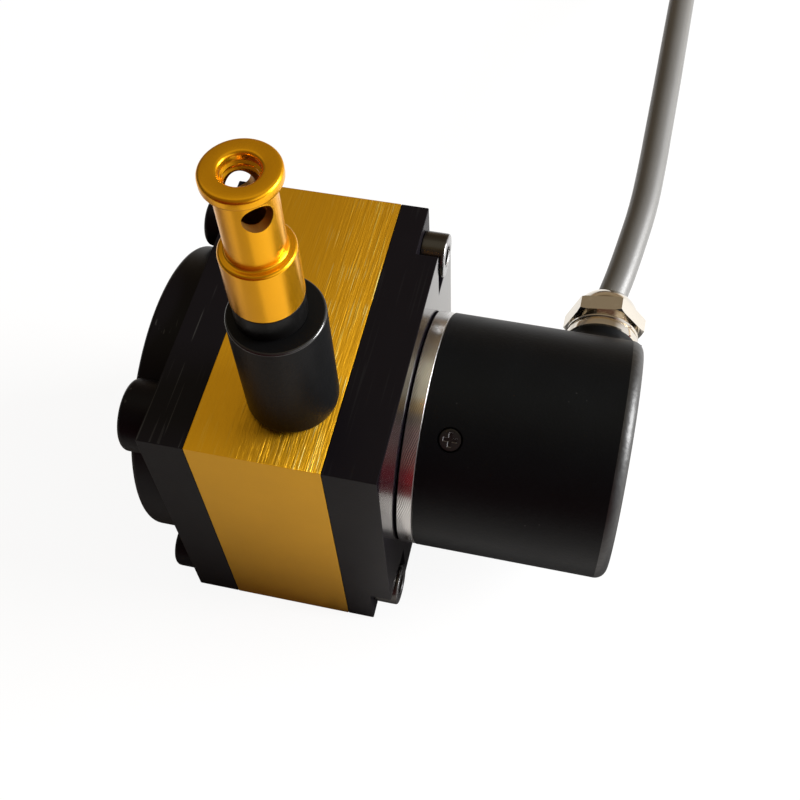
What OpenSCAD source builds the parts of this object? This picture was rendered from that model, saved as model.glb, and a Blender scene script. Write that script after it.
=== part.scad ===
// Draw wire encoder: a spring driven wire drum in a square housing, with a
// round rotary encoder on its right side and a cable that leaves to the rear.
// Millimetres. X runs along the shaft towards the encoder, Y to the rear and
// Z up along the measuring wire. The origin is the middle of the housing's base.

/* [Housing] */
// Width of the drum housing, along the shaft
housing_w = 20; // [18.5:0.5:24]
// Depth of the housing and its end plates, front to rear
housing_d = 50; // [49.5:0.5:56]
// Height of the housing and its end plates
housing_h = 50; // [48:0.5:56]
// Radius of the round chamber that the drum turns in
chamber_r = 20; // [18:0.25:20.5]
// Radius of the recess that the bearing carrier drops into
carrier_seat_r = 21.6; // [21.4:0.1:22.4]
// Distance of the corner screws from the side faces
corner_inset = 5; // [4.7:0.1:5.2]
// Distance between the two tapped holes in the base
base_hole_spacing = 26; // [24:0.5:28]
// Core radius of the tapped holes in the base
base_hole_r = 1.65; // [1.3:0.05:2.1]
// Depth of the tapped holes in the base
base_hole_depth = 7; // [5:0.5:8]

/* [Spring cover] */
// Thickness of the cover's square plate
cover_t = 7.1; // [6:0.1:9]
// Radius of the round boss over the mainspring
cover_boss_r = 23.8; // [22.8:0.1:24]
// Height of the round boss above the plate
cover_boss_h = 5.7; // [4.5:0.1:8]
// Wall between the spring chamber and the end of the boss
cover_wall = 2; // [1.5:0.1:3]
// Radius of the spring chamber
spring_chamber_r = 20.8; // [20.4:0.1:21]
// Radius of the three small corner bosses
corner_boss_r = 4.1; // [3.6:0.1:4.4]
// Radius of the large corner boss, above the anchor of the mainspring
anchor_boss_r = 5.5; // [4.5:0.1:6]
// Height of the corner bosses above the plate
corner_boss_h = 4.1; // [3:0.1:6]
// Height of the boss over the spring's anchor
anchor_boss_h = 4.5; // [3.5:0.1:6]
// Rounding of the outer edges of all bosses
boss_round = 0.9; // [0.4:0.1:1.2]

/* [Mainspring] */
// Turns of the flat spiral spring
spring_turns = 9; // [5:1:11]
// Thickness of the spring strip
spring_strip_t = 0.4; // [0.2:0.05:0.5]
// Width of the spring strip
spring_strip_w = 8; // [6:0.5:8.5]
// Outer radius of the arbor that winds the spring
arbor_r = 5; // [4.5:0.1:6]
// Radius of the pin that holds the spring's outer end
anchor_pin_r = 1; // [0.7:0.1:1.2]

/* [Encoder plate] */
// Thickness of the plate at its two notched corners
plate_thin_t = 4.5; // [4:0.1:6]
// Full thickness of the plate
plate_t = 8; // [7.6:0.1:9]
// Side of the square notch at two corners
plate_notch = 9.5; // [9:0.1:10]

/* [Corner screws] */
// Shank radius of the corner screws
screw_r = 2; // [1.6:0.1:2.2]
// Head radius of the corner screws
screw_head_r = 3.5; // [3.1:0.1:3.7]
// Head height of the corner screws
screw_head_h = 4; // [3:0.1:4.2]
// Width across the flats of the hexagon socket
screw_socket_af = 3; // [2:0.1:3.5]
// Radius of the dowel pins at the other two corners
pin_r = 2; // [1.5:0.1:2.2]

/* [Wire and drum] */
// Radius of the measuring wire
wire_r = 0.3; // [0.2:0.05:0.35]
// Radius at which the wire lies on the drum
wrap_r = 13.5; // [12.5:0.1:13.8]
// Pitch of the turns on the drum
wire_pitch = 0.8; // [0.75:0.05:1.2]
// Radius of the drum's flanges
drum_flange_r = 17; // [16:0.25:17.5]
// Thickness of the drum's flanges
drum_flange_t = 1.2; // [0.8:0.1:1.4]
// Thickness of the drum's rim under the wire
drum_rim_t = 2.2; // [1.5:0.1:3]
// Radius of the drum's hub
drum_hub_r = 7; // [6:0.25:8]
// Thickness of the drum's web
drum_web_t = 2.4; // [1.5:0.1:4]
// Radius of the lightening holes in the web
web_hole_r = 1.4; // [0.8:0.1:1.5]
// Free space beside the drum
drum_gap = 0.6; // [0.4:0.05:0.8]

/* [Wire outlet] */
// Outer radius of the outlet sleeve
sleeve_r = 6.65; // [5.5:0.05:7]
// How far the sleeve's outside sits off the wire
sleeve_off = 0.55; // [0:0.05:0.8]
// Height of the outlet sleeve above the housing
sleeve_h = 20; // [14:0.5:26]
// Rounding of the sleeve's lower edge
sleeve_round = 1; // [0.4:0.1:1.6]
// Radius of the threaded spigot under the sleeve
spigot_r = 3.5; // [3:0.1:3.7]
// Depth of the spigot in the housing
spigot_depth = 5; // [4:0.25:5.5]
// Radius of the bore that holds the wiper and the guide
guide_seat_r = 2.5; // [2:0.1:3]
// Length of the guide bush
guide_len = 9; // [6:0.5:10]
// Radius of the wire hole in the guide bush
guide_hole_r = 0.6; // [0.5:0.05:0.9]
// Thickness of the felt wiper
wiper_t = 3; // [2:0.25:3]

/* [End fitting] */
// Radius of the stop bumper under the fitting
bumper_r = 4.8; // [4:0.1:5.2]
// Height of the stop bumper
bumper_h = 4; // [2.5:0.25:6]
// Radius of the fitting's lower body
fitting_r = 4.9; // [4.5:0.05:5.5]
// Length of the fitting
fitting_len = 22; // [20:0.5:26]
// Length of the fitting's lower body
fitting_base_len = 9; // [7:0.25:11]
// Radius of the fitting's neck
fitting_neck_r = 3.8; // [3.5:0.05:4.2]
// Radius of the fitting's head
fitting_head_r = 4.9; // [4.4:0.05:5.5]
// Thickness of the fitting's head, with its sloping underside
fitting_head_t = 2; // [1.8:0.1:3]
// Core radius of the tapped hole in the fitting
fitting_thread_r = 2.1; // [2.05:0.05:2.4]
// Depth of the threaded hole in the fitting
fitting_thread_len = 14; // [13:0.25:15]
// Radius of the cross hole through the neck
cross_hole_r = 1.95; // [1.2:0.05:2]
// Distance of the cross hole from the top of the head
cross_hole_drop = 4.7; // [4.5:0.05:6]
// Direction of the cross hole at rest, degrees from the shaft's direction
cross_hole_turn = -50; // [-180:1:180]
// Radius of the crimped ferrule's head
ferrule_head_r = 1.5; // [1.45:0.05:1.6]
// Radius of the crimped ferrule's shank
ferrule_shank_r = 1; // [0.9:0.05:1.1]

/* [Encoder] */
// Gap between the plate and the encoder's flange ring
flange_gap = 0.45; // [0.2:0.05:0.8]
// Outer radius of the flange ring
flange_r = 19.2; // [18.6:0.1:20]
// Thickness of the flange ring
flange_t = 2.25; // [1.5:0.05:3]
// Radius of the pilot that centres the encoder in the plate
pilot_r = 10; // [9:0.1:11]
// Outer radius of the can
can_r = 19.25; // [18.9:0.05:20]
// Length of the can
can_len = 30.5; // [30:0.5:36]
// Wall of the can
can_wall = 1; // [0.8:0.1:1.4]
// Rounding of the can's outer rim
can_round = 1.9; // [1:0.1:2.5]
// Distance of the can's screws from its open edge
can_screw_from_edge = 4.5; // [3.5:0.1:5]
// Shank radius of the encoder's shaft
shaft_r = 3; // [2.9:0.05:3.2]
// Outer radius of the ball bearings
bearing_r = 6.5; // [6.3:0.05:6.8]
// Width of the ball bearings
bearing_w = 5; // [4:0.25:5]
// Radius of the code disc
code_disc_r = 12.6; // [11.5:0.1:13]
// Number of slots in the code disc
code_slots = 36; // [12:1:48]
// Radius of the circuit board
board_r = 17.2; // [16.8:0.1:17.6]

/* [Cable gland] */
// Distance of the gland's axis from the end of the can
gland_from_end = 6.4; // [6.2:0.1:7.5]
// Height of the boss under the gland above the can
gland_boss_h = 2.35; // [1.8:0.05:4]
// Radius of the boss under the gland
gland_boss_r = 6.1; // [5.5:0.1:6.2]
// Radius of the gland's collar
gland_collar_r = 6.2; // [5.6:0.1:6.4]
// Width across the flats of the gland's nut
gland_nut_af = 12.1; // [11.6:0.1:13]
// Outer radius of the cable
cable_r = 2.6; // [2.2:0.1:2.7]

/* [Hidden] */
$fn = 64;

// Small clearances and overlaps
fit_gap = 0.02;      // between pieces that are fastened to each other
run_gap = 0.05;      // between faces that slide past each other
soft_gap = 0.15;     // round the felt wiper's wire hole
eps = 0.01;          // lets a cut run past the face that it opens

// Places along the shaft
shaft_z = housing_h / 2;
housing_x0 = -housing_w / 2;
housing_x1 = housing_w / 2;
cover_face_x = housing_x0 - cover_t;
boss_face_x = cover_face_x - cover_boss_h;
spring_chamber_x0 = boss_face_x + cover_wall;
plate_face_x = housing_x1 + plate_t;
screw_seat_x = housing_x1 + plate_thin_t;
pin_x0 = cover_face_x + 2;
pin_x1 = screw_seat_x - 0.9;
carrier_lip_t = 1.8;
carrier_shoulder_t = 1;
carrier_t = bearing_w + carrier_shoulder_t;
drum_x0 = housing_x0 + carrier_t + drum_gap;
drum_x1 = housing_x1 - drum_gap;
core_x0 = drum_x0 + drum_flange_t;
core_x1 = drum_x1 - drum_flange_t;
core_mid_x = (core_x0 + core_x1) / 2;
wire_x = core_mid_x - sleeve_off;
wire_y = -wrap_r;
core_r = wrap_r - wire_r;
side_turns = floor(((core_x1 - core_x0) / 2 - wire_r - sleeve_off) / wire_pitch);

// Places along the wire
seat_gap = 0.05;
sleeve_z1 = housing_h + sleeve_h;
bumper_z0 = sleeve_z1 + seat_gap;
fitting_z0 = bumper_z0 + bumper_h + seat_gap;
fitting_z1 = fitting_z0 + fitting_len;
ferrule_shoulder_t = 3;
ferrule_room_gap = 0.1;
ferrule_head_h = 3;
ferrule_z0 = bumper_z0 + 1.5;
lead_start_z = shaft_z + 2;
lead_end_z = fitting_z0 + ferrule_shoulder_t + ferrule_head_h;

// Places along the encoder
flange_x0 = plate_face_x + flange_gap;
flange_seat_r = flange_r - 1.7;
flange_x1 = flange_x0 + flange_t;
can_x1 = flange_x1 + can_len;
can_inner_r = can_r - can_wall;
can_end_t = 1.5;
pilot_depth = 3;
pilot_x0 = plate_face_x - pilot_depth;
flange_skirt_len = 7.3;
flange_skirt_r = 13.2;
skirt_x1 = flange_x1 + flange_skirt_len;
bearing_tube_r = bearing_r + 2;
front_bearing_x0 = pilot_x0;
bearing_tube_beyond = 3.5;
rear_bearing_x1 = skirt_x1 + bearing_tube_beyond;
rear_bearing_x0 = rear_bearing_x1 - bearing_w;
disc_hub_x0 = rear_bearing_x1 + 0.5;
disc_hub_len = 3.5;
code_disc_t = 0.8;
code_disc_x0 = disc_hub_x0 + 1.5;
shaft_x1 = disc_hub_x0 + disc_hub_len + 0.5;
disc_room = 2;
board_x0 = disc_hub_x0 + disc_hub_len + disc_room;
board_t = 1.6;
post_r = 1.5;
post_pitch_r = code_disc_r + post_r + 0.6;
post_angles = [30, 150, 270];
shaft_split_x = core_mid_x + 0.5;
shaft_split_gap = 0.3;
spring_shaft_x0 = spring_chamber_x0 + 0.4;
can_screw_x = flange_x1 + can_screw_from_edge;
can_screw_head_r = 1.75;
can_screw_shank_r = 1.2;
can_screw_angles = [34.5, 154.5, 274.5];

// Places round the gland
gland_x = can_x1 - gland_from_end;
boss_top_y = can_r + gland_boss_h;
gland_thread_r = 4;
gland_tube_r = 4.4;
collar_h = 2.4;
nut_gap = 1;
nut_y0 = boss_top_y + collar_h + nut_gap;
nut_hex_h = 2.5;
nut_dome_h = 3.7;
gland_nut_turn = -10;
nut_y1 = nut_y0 + nut_hex_h + nut_dome_h;
gland_tube_y1 = nut_y0 + 1.8;
seal_y0 = gland_tube_y1;
seal_y1 = nut_y1 - 1.7;
cable_hole_r = cable_r + 0.25;

// The cable: along its route, then stored in a flat coil of five turns
cable_in_gland = 7;
cable_start = [gland_x, nut_y1 - cable_in_gland, shaft_z];
cable_exit = [gland_x, nut_y1, shaft_z];
cable_route = [
  [46.3, 38, 25], [47.4, 46, 25], [48.3, 54, 25], [48.8, 64, 25], [49.05, 75, 25],
  [49.3, 87, 25], [49.5, 99, 24.7], [49.7, 110, 23.8], [49.9, 120, 22], [50, 130, 19.2],
  [50.1, 140, 15.6], [50.15, 150, 11.8], [50.2, 160, 8.4], [50.2, 170, 5.8], [50.2, 180, 4.2],
  [50.2, 190, 3.5], [50.2, 200, 3.4]
];
cable_sides = 10;
coil_centre = [19.6, 208];
coil_r_in = 22.8;
coil_r_mid = 28;
coil_r_out = 33.2;
coil_floor = 0.8;
coil_low_top = 11.2;
coil_high_top = 16.4;
coil_high_start = 295;
coil_high_angle = 252;
core_count = 5;
core_r_wire = 0.6;
core_ring_r = 1.1;
core_angle = 50;
tie_t = 0.8;
tie_w = 3;
tie_angles = [20, 140];

// ---- shared shapes and placings ----

// Turns a solid drawn along Z so that it lies along the shaft, starting at x
module along_shaft(x) {
  translate([x, 0, shaft_z]) rotate([0, 90, 0]) children();
}

// Turns a solid drawn along Z so that it lies along the gland, starting at y
module along_gland(y) {
  translate([gland_x, y, shaft_z]) rotate([-90, 0, 0]) children();
}

// Stands a solid on the wire's axis at height z
module on_wire(z) {
  translate([wire_x, wire_y, z]) children();
}

// Puts a copy at each place in a list of [y, z] pairs, drawn along the shaft
module at_corners(places, x) {
  for (p = places) translate([x, p[0], p[1]]) rotate([0, 90, 0]) children();
}

// Puts a copy at each angle round the shaft
module round_shaft(angles, r, x) {
  for (a = angles) along_shaft(x) rotate([0, 0, a]) translate([r, 0, 0]) children();
}

// A round bar with a rounded edge at its top
module rounded_bar(r, h, edge) {
  rotate_extrude() {
    square([r - edge, h]);
    square([r, h - edge]);
    translate([r - edge, h - edge]) circle(r = edge, $fn = 32);
  }
}

// A tube along Z
module tube(r_out, r_in, h) {
  difference() {
    cylinder(r = r_out, h = h);
    translate([0, 0, -eps]) cylinder(r = r_in, h = h + 2 * eps);
  }
}

// A hexagon bar along Z with the given width across its flats
module hexagon(af, h) {
  cylinder(r = af / 2 / cos(30), h = h, $fn = 6);
}

// The corners as [y, z]: rear top, front bottom, front top, rear bottom
corner_y = housing_d / 2 - corner_inset;
rear_top = [corner_y, housing_h - corner_inset];
front_bottom = [-corner_y, corner_inset];
front_top = [-corner_y, housing_h - corner_inset];
rear_bottom = [corner_y, corner_inset];
notched_corners = [rear_top, front_bottom];
plain_corners = [front_top, rear_bottom];
all_corners = concat(notched_corners, plain_corners);
corner_screw_x0 = cover_face_x - corner_boss_h + 1.5;

// ---- housing ----

module drum_housing() {
  color("goldenrod") difference() {
    translate([housing_x0, -housing_d / 2, 0]) cube([housing_w, housing_d, housing_h]);
    along_shaft(housing_x0 - eps) cylinder(r = chamber_r, h = housing_w + 2 * eps);
    along_shaft(housing_x0 - eps) cylinder(r = carrier_seat_r, h = carrier_lip_t + eps);
    at_corners(notched_corners, housing_x0 - eps) cylinder(r = screw_r + 0.2, h = housing_w + 2 * eps);
    at_corners(plain_corners, housing_x0 - eps) cylinder(r = pin_r + fit_gap, h = housing_w + 2 * eps);
    on_wire(housing_h - spigot_depth) cylinder(r = spigot_r + fit_gap, h = spigot_depth + eps);
    on_wire(shaft_z) cylinder(r = guide_seat_r, h = housing_h - shaft_z);
    for (side = [-1, 1])
      translate([0, side * base_hole_spacing / 2, -eps]) cylinder(r = base_hole_r, h = base_hole_depth);
  }
}

module corner_boss(place, r, h) {
  translate([cover_face_x + eps, place[0], place[1]]) rotate([0, -90, 0])
    rounded_bar(r, h + eps, boss_round);
}

module spring_cover() {
  anchor_place = [-housing_d / 2 + anchor_boss_r + 1.5, housing_h - anchor_boss_r];
  color([0.08, 0.08, 0.09]) difference() {
    union() {
      translate([cover_face_x, -housing_d / 2, 0]) cube([cover_t, housing_d, housing_h]);
      translate([cover_face_x + eps, 0, shaft_z]) rotate([0, -90, 0])
        rounded_bar(cover_boss_r, cover_boss_h + eps, boss_round);
      for (p = [rear_top, front_bottom, rear_bottom]) corner_boss(p, corner_boss_r, corner_boss_h);
      corner_boss(anchor_place, anchor_boss_r, anchor_boss_h);
    }
    along_shaft(spring_chamber_x0) cylinder(r = spring_chamber_r, h = housing_x0 - spring_chamber_x0 + eps);
    at_corners(notched_corners, corner_screw_x0 - 0.3)
      cylinder(r = screw_r + fit_gap, h = housing_x0 - corner_screw_x0 + 0.3 + eps);
    at_corners(plain_corners, pin_x0 - 0.3)
      cylinder(r = pin_r + fit_gap, h = housing_x0 - pin_x0 + 0.3 + eps);
  }
}

module plate_notch_cut(y_side, z_low) {
  y0 = y_side > 0 ? housing_d / 2 - plate_notch : -housing_d / 2 - eps;
  z0 = z_low ? -eps : housing_h - plate_notch;
  translate([screw_seat_x, y0, z0]) cube([plate_t, plate_notch + eps, plate_notch + eps]);
}

module encoder_plate() {
  color([0.1, 0.1, 0.11]) difference() {
    translate([housing_x1, -housing_d / 2, 0]) cube([plate_t, housing_d, housing_h]);
    plate_notch_cut(1, false);
    plate_notch_cut(-1, true);
    along_shaft(housing_x1 - eps) cylinder(r = pilot_r + fit_gap, h = plate_t + 2 * eps);
    at_corners(notched_corners, housing_x1 - eps) cylinder(r = screw_r + 0.2, h = plate_t + 2 * eps);
    at_corners(plain_corners, housing_x1 - eps) cylinder(r = pin_r + fit_gap, h = pin_x1 - housing_x1 + 0.3);
    encoder_screw_places(housing_x1 - eps)
      cylinder(r = encoder_screw_head_r + 0.2, h = encoder_screw_head_h + 0.1 + eps);
    encoder_screw_places(housing_x1) cylinder(r = encoder_screw_r + 0.2, h = plate_t + eps);
  }
}

module socket_screw(shank_r, shank_len, head_r, head_h, socket_af) {
  difference() {
    union() {
      translate([0, 0, -shank_len]) cylinder(r = shank_r, h = shank_len + eps);
      cylinder(r = head_r, h = head_h);
    }
    translate([0, 0, head_h / 2]) hexagon(socket_af, head_h);
  }
}

module corner_screws() {
  color([0.09, 0.09, 0.09]) at_corners(notched_corners, screw_seat_x)
    socket_screw(screw_r, screw_seat_x - corner_screw_x0, screw_head_r, screw_head_h, screw_socket_af);
}

// Dowels that locate the cover, the block and the plate on each other
module corner_pins() {
  color("silver") at_corners(plain_corners, pin_x0) cylinder(r = pin_r, h = pin_x1 - pin_x0, $fn = 48);
}

module bearing_carrier() {
  color("lightgrey") along_shaft(housing_x0) difference() {
    union() {
      cylinder(r = carrier_seat_r - fit_gap, h = carrier_lip_t);
      cylinder(r = chamber_r - fit_gap, h = carrier_t);
    }
    translate([0, 0, -eps]) cylinder(r = bearing_r + fit_gap, h = bearing_w + eps);
    cylinder(r = bearing_r - 1.2, h = carrier_t + eps);
  }
}

// ---- ball bearings ----

inner_ring_r = shaft_r + (bearing_r - shaft_r) * 0.34;
outer_ring_r = shaft_r + (bearing_r - shaft_r) * 0.66;
ball_pitch_r = (inner_ring_r + outer_ring_r) / 2;
ball_r = (bearing_r - shaft_r) * 0.24;
ball_count = 8;

// Profile of one ring, turned round the shaft, with the groove for the balls
module bearing_ring(r_in, r_out) {
  rotate_extrude() difference() {
    translate([r_in, 0]) square([r_out - r_in, bearing_w]);
    translate([ball_pitch_r, bearing_w / 2]) circle(r = ball_r + run_gap, $fn = 32);
  }
}

module outer_race_and_balls() {
  bearing_ring(outer_ring_r, bearing_r);
  for (k = [0 : ball_count - 1])
    rotate([0, 0, k * 360 / ball_count]) translate([ball_pitch_r, 0, bearing_w / 2]) sphere(r = ball_r, $fn = 32);
}

module inner_race() {
  bearing_ring(shaft_r + fit_gap, inner_ring_r);
}

module left_bearing() { color("silver") along_shaft(housing_x0) outer_race_and_balls(); }
module left_bearing_inner() { color("silver") along_shaft(housing_x0) inner_race(); }
module front_bearing() { color("silver") along_shaft(front_bearing_x0) outer_race_and_balls(); }
module front_bearing_inner() { color("silver") along_shaft(front_bearing_x0) inner_race(); }
module rear_bearing() { color("silver") along_shaft(rear_bearing_x0) outer_race_and_balls(); }
module rear_bearing_inner() { color("silver") along_shaft(rear_bearing_x0) inner_race(); }

// ---- mainspring and rotor ----

spring_in_r = arbor_r + spring_strip_t + 0.1;
spring_out_r = spring_chamber_r - 2 * anchor_pin_r - 0.8;
spring_end_angle = 225;
spring_steps = 18;
strip_x0 = (spring_chamber_x0 + housing_x0 - spring_strip_w) / 2;

// Radius of the spiral's middle line after a share t of its length
function spiral_r(t) = spring_in_r + (spring_out_r - spring_in_r) * t;
function spiral_angle(t) = spring_end_angle - 360 * spring_turns * (1 - t);
function spiral_point(t, side) =
  let (r = spiral_r(t) + side * spring_strip_t / 2, a = spiral_angle(t))
  [r * cos(a), r * sin(a)];

module mainspring() {
  count = spring_turns * spring_steps;
  outer_edge = [for (k = [0 : count]) spiral_point(k / count, 1)];
  inner_edge = [for (k = [count : -1 : 0]) spiral_point(k / count, -1)];
  color("slategray") along_shaft(strip_x0) linear_extrude(height = spring_strip_w)
    polygon(concat(outer_edge, inner_edge));
}

module spring_anchor() {
  pin_pitch = spring_out_r + spring_strip_t / 2 + anchor_pin_r + 0.1;
  color("silver") round_shaft([spring_end_angle], pin_pitch, spring_chamber_x0)
    cylinder(r = anchor_pin_r, h = strip_x0 + spring_strip_w - spring_chamber_x0);
}

module spring_arbor() {
  arbor_len = housing_x0 - spring_shaft_x0;
  slot_w = spring_strip_t + 0.3;
  color("silver") difference() {
    along_shaft(spring_shaft_x0) tube(arbor_r, shaft_r + fit_gap, arbor_len);
    translate([strip_x0, -slot_w / 2, shaft_z + shaft_r])
      cube([spring_strip_w, slot_w, arbor_r]);
  }
}

module spring_shaft() {
  color("silver") along_shaft(spring_shaft_x0)
    cylinder(r = shaft_r, h = shaft_split_x - shaft_split_gap - spring_shaft_x0);
}

module drum() {
  width = drum_x1 - drum_x0;
  rim_r0 = core_r - drum_rim_t;
  hole_pitch_r = (drum_hub_r + rim_r0) / 2;
  color("gainsboro") along_shaft(drum_x0) difference() {
    rotate_extrude() {
      difference() {
        square([drum_flange_r, width]);
        translate([core_r, drum_flange_t]) square([drum_flange_r, width - 2 * drum_flange_t]);
        translate([drum_hub_r, -eps]) square([rim_r0 - drum_hub_r, (width - drum_web_t) / 2 + eps]);
        translate([drum_hub_r, (width + drum_web_t) / 2])
          square([rim_r0 - drum_hub_r, (width - drum_web_t) / 2 + eps]);
        translate([0, -eps]) square([shaft_r + fit_gap, width + 2 * eps]);
      }
    }
    for (k = [0 : 5])
      rotate([0, 0, 60 * k]) translate([hole_pitch_r, 0, 0]) cylinder(r = web_hole_r, h = width, $fn = 32);
    grub_places(drum_x0) cylinder(r = grub_r + fit_gap, h = drum_hub_r + 1, $fn = 32);
  }
}

grub_r = 1.25;
grub_xs = [drum_x0 + 2.6, drum_x1 - 2.6];

// Radial places of the two grub screws, seen from a solid that starts at x
module grub_places(x) {
  for (gx = grub_xs)
    translate([0, 0, gx - x]) rotate([90, 0, 0]) children();
}

module drum_grub_screws() {
  grub_len = drum_hub_r - shaft_r - 0.3;
  color("dimgray") along_shaft(0) grub_places(0) translate([0, 0, shaft_r + fit_gap]) difference() {
    cylinder(r = grub_r, h = grub_len, $fn = 32);
    translate([0, 0, grub_len / 2]) hexagon(grub_r, grub_len);
  }
}

// The turns on the drum: one ring for each, with the middle one left out
// where the wire leaves the drum
module wound_wire() {
  color("silver") for (k = [-side_turns : side_turns])
    if (k != 0) along_shaft(wire_x + k * wire_pitch) rotate_extrude($fn = 48)
      translate([wrap_r + fit_gap, 0]) circle(r = wire_r, $fn = 16);
}

// ---- wire outlet ----

sleeve_floor_z = sleeve_z1 - guide_len - wiper_t - seat_gap;

module outlet_sleeve() {
  color([0.12, 0.12, 0.12]) on_wire(0) difference() {
    union() {
      translate([sleeve_off, 0, sleeve_z1]) mirror([0, 0, 1]) rounded_bar(sleeve_r, sleeve_h, sleeve_round);
      translate([0, 0, housing_h - spigot_depth]) cylinder(r = spigot_r, h = spigot_depth + 1);
    }
    translate([0, 0, sleeve_floor_z]) cylinder(r = guide_seat_r, h = sleeve_h);
    translate([0, 0, housing_h - spigot_depth - eps]) cylinder(r = guide_seat_r - 1, h = sleeve_h);
  }
}

module wire_wiper() {
  color("ivory") on_wire(sleeve_floor_z) tube(guide_seat_r - fit_gap, wire_r + soft_gap, wiper_t);
}

module wire_guide() {
  mouth = 0.7;
  color("white") on_wire(sleeve_floor_z + wiper_t) difference() {
    cylinder(r = guide_seat_r - fit_gap, h = guide_len);
    translate([0, 0, -eps]) cylinder(r = guide_hole_r, h = guide_len + 2 * eps);
    translate([0, 0, guide_len - mouth])
      cylinder(r1 = guide_hole_r, r2 = guide_hole_r + mouth + eps, h = mouth + eps);
  }
}

module wire_lead() {
  color("silver") on_wire(lead_start_z) cylinder(r = wire_r, h = lead_end_z - lead_start_z, $fn = 24);
}

module wire_ferrule() {
  head_z0 = fitting_z0 + ferrule_shoulder_t + seat_gap;
  color("silver") difference() {
    union() {
      on_wire(ferrule_z0) cylinder(r = ferrule_shank_r, h = head_z0 - ferrule_z0 + eps);
      on_wire(head_z0) cylinder(r = ferrule_head_r, h = ferrule_head_h);
    }
    on_wire(ferrule_z0 - eps) cylinder(r = wire_r + fit_gap, h = lead_end_z - ferrule_z0 + 1);
  }
}

module stop_bumper() {
  color([0.1, 0.1, 0.1]) on_wire(bumper_z0) difference() {
    cylinder(r = bumper_r, h = bumper_h);
    translate([0, 0, -eps]) cylinder(r = guide_hole_r, h = bumper_h);
    translate([0, 0, ferrule_z0 - bumper_z0]) cylinder(r = ferrule_shank_r + fit_gap, h = bumper_h);
  }
}

module end_fitting() {
  edge = 0.6;
  slope = fitting_head_t / 2;
  neck_z0 = fitting_base_len;
  color("gold") on_wire(fitting_z0) difference() {
    rotate_extrude() polygon([
      [0, 0], [fitting_r - edge / 2, 0], [fitting_r, edge / 2],
      [fitting_r, neck_z0 - edge], [fitting_r - edge, neck_z0],
      [fitting_neck_r, neck_z0], [fitting_neck_r, fitting_len - fitting_head_t],
      [fitting_head_r - edge / 3, fitting_len - slope - edge / 3],
      [fitting_head_r, fitting_len - slope],
      [fitting_head_r, fitting_len - edge / 2], [fitting_head_r - edge / 2, fitting_len],
      [0, fitting_len]
    ]);
    translate([0, 0, ferrule_shoulder_t]) cylinder(r = ferrule_head_r + ferrule_room_gap, h = fitting_len);
    translate([0, 0, fitting_len - fitting_thread_len]) cylinder(r = fitting_thread_r, h = fitting_len);
    translate([0, 0, -eps]) cylinder(r = ferrule_shank_r + 0.15, h = fitting_len);
    translate([0, 0, fitting_len - edge])
      cylinder(r1 = fitting_thread_r, r2 = fitting_thread_r + edge + eps, h = edge + eps);
    translate([0, 0, fitting_len - cross_hole_drop]) rotate([0, 0, cross_hole_turn]) rotate([0, 90, 0])
      cylinder(r = cross_hole_r, h = 3 * fitting_r, center = true);
  }
}

// ---- encoder ----

encoder_screw_r = 1.5;
encoder_screw_head_r = 2.6;
encoder_screw_head_h = 3;
encoder_screw_pitch_r = 15.4;
encoder_screw_len = 13;
encoder_screw_seat_x = housing_x1 + encoder_screw_head_h + 0.1;

module encoder_screw_places(x) {
  round_shaft([30, 150, 270], encoder_screw_pitch_r, x) children();
}

module encoder_screws() {
  color("dimgray") encoder_screw_places(encoder_screw_seat_x) mirror([0, 0, 1])
    socket_screw(encoder_screw_r, encoder_screw_len, encoder_screw_head_r, encoder_screw_head_h, 2);
}

module encoder_flange() {
  color("lightsteelblue") difference() {
    union() {
      along_shaft(pilot_x0) cylinder(r = pilot_r, h = flange_x0 - pilot_x0 + eps);
      along_shaft(plate_face_x) cylinder(r = flange_seat_r, h = flange_gap + eps);
      along_shaft(flange_x0) cylinder(r = flange_r, h = flange_t);
      along_shaft(flange_x1 - eps) cylinder(r = can_inner_r - fit_gap, h = flange_skirt_len + eps);
      along_shaft(flange_x1) cylinder(r = bearing_tube_r, h = rear_bearing_x1 - flange_x1);
    }
    along_shaft(flange_x1 + 1) difference() {
      cylinder(r = flange_skirt_r, h = can_len);
      translate([0, 0, -eps]) cylinder(r = bearing_tube_r, h = can_len + 2 * eps);
    }
    along_shaft(front_bearing_x0 - eps) cylinder(r = bearing_r + fit_gap, h = bearing_w + eps);
    along_shaft(rear_bearing_x0) cylinder(r = bearing_r + fit_gap, h = bearing_w + eps);
    along_shaft(front_bearing_x0) cylinder(r = bearing_r - 1.2, h = rear_bearing_x1 - front_bearing_x0);
    encoder_screw_places(plate_face_x - eps)
      cylinder(r = encoder_screw_r + fit_gap, h = encoder_screw_seat_x + encoder_screw_len - plate_face_x + 0.5);
    can_screw_places() translate([0, 0, -can_screw_len - 0.3])
      cylinder(r = can_screw_shank_r + fit_gap, h = can_screw_len + 2, $fn = 32);
  }
}

module encoder_shaft() {
  color("silver") along_shaft(shaft_split_x) cylinder(r = shaft_r, h = shaft_x1 - shaft_split_x);
}

module disc_hub() {
  hub_r = shaft_r + 2.6;
  boss_r = shaft_r + 1.4;
  color("darkgray") along_shaft(disc_hub_x0) difference() {
    union() {
      cylinder(r = hub_r, h = code_disc_x0 - disc_hub_x0);
      cylinder(r = boss_r, h = disc_hub_len);
    }
    translate([0, 0, -eps]) cylinder(r = shaft_r + fit_gap, h = disc_hub_len + 2 * eps);
  }
}

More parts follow.
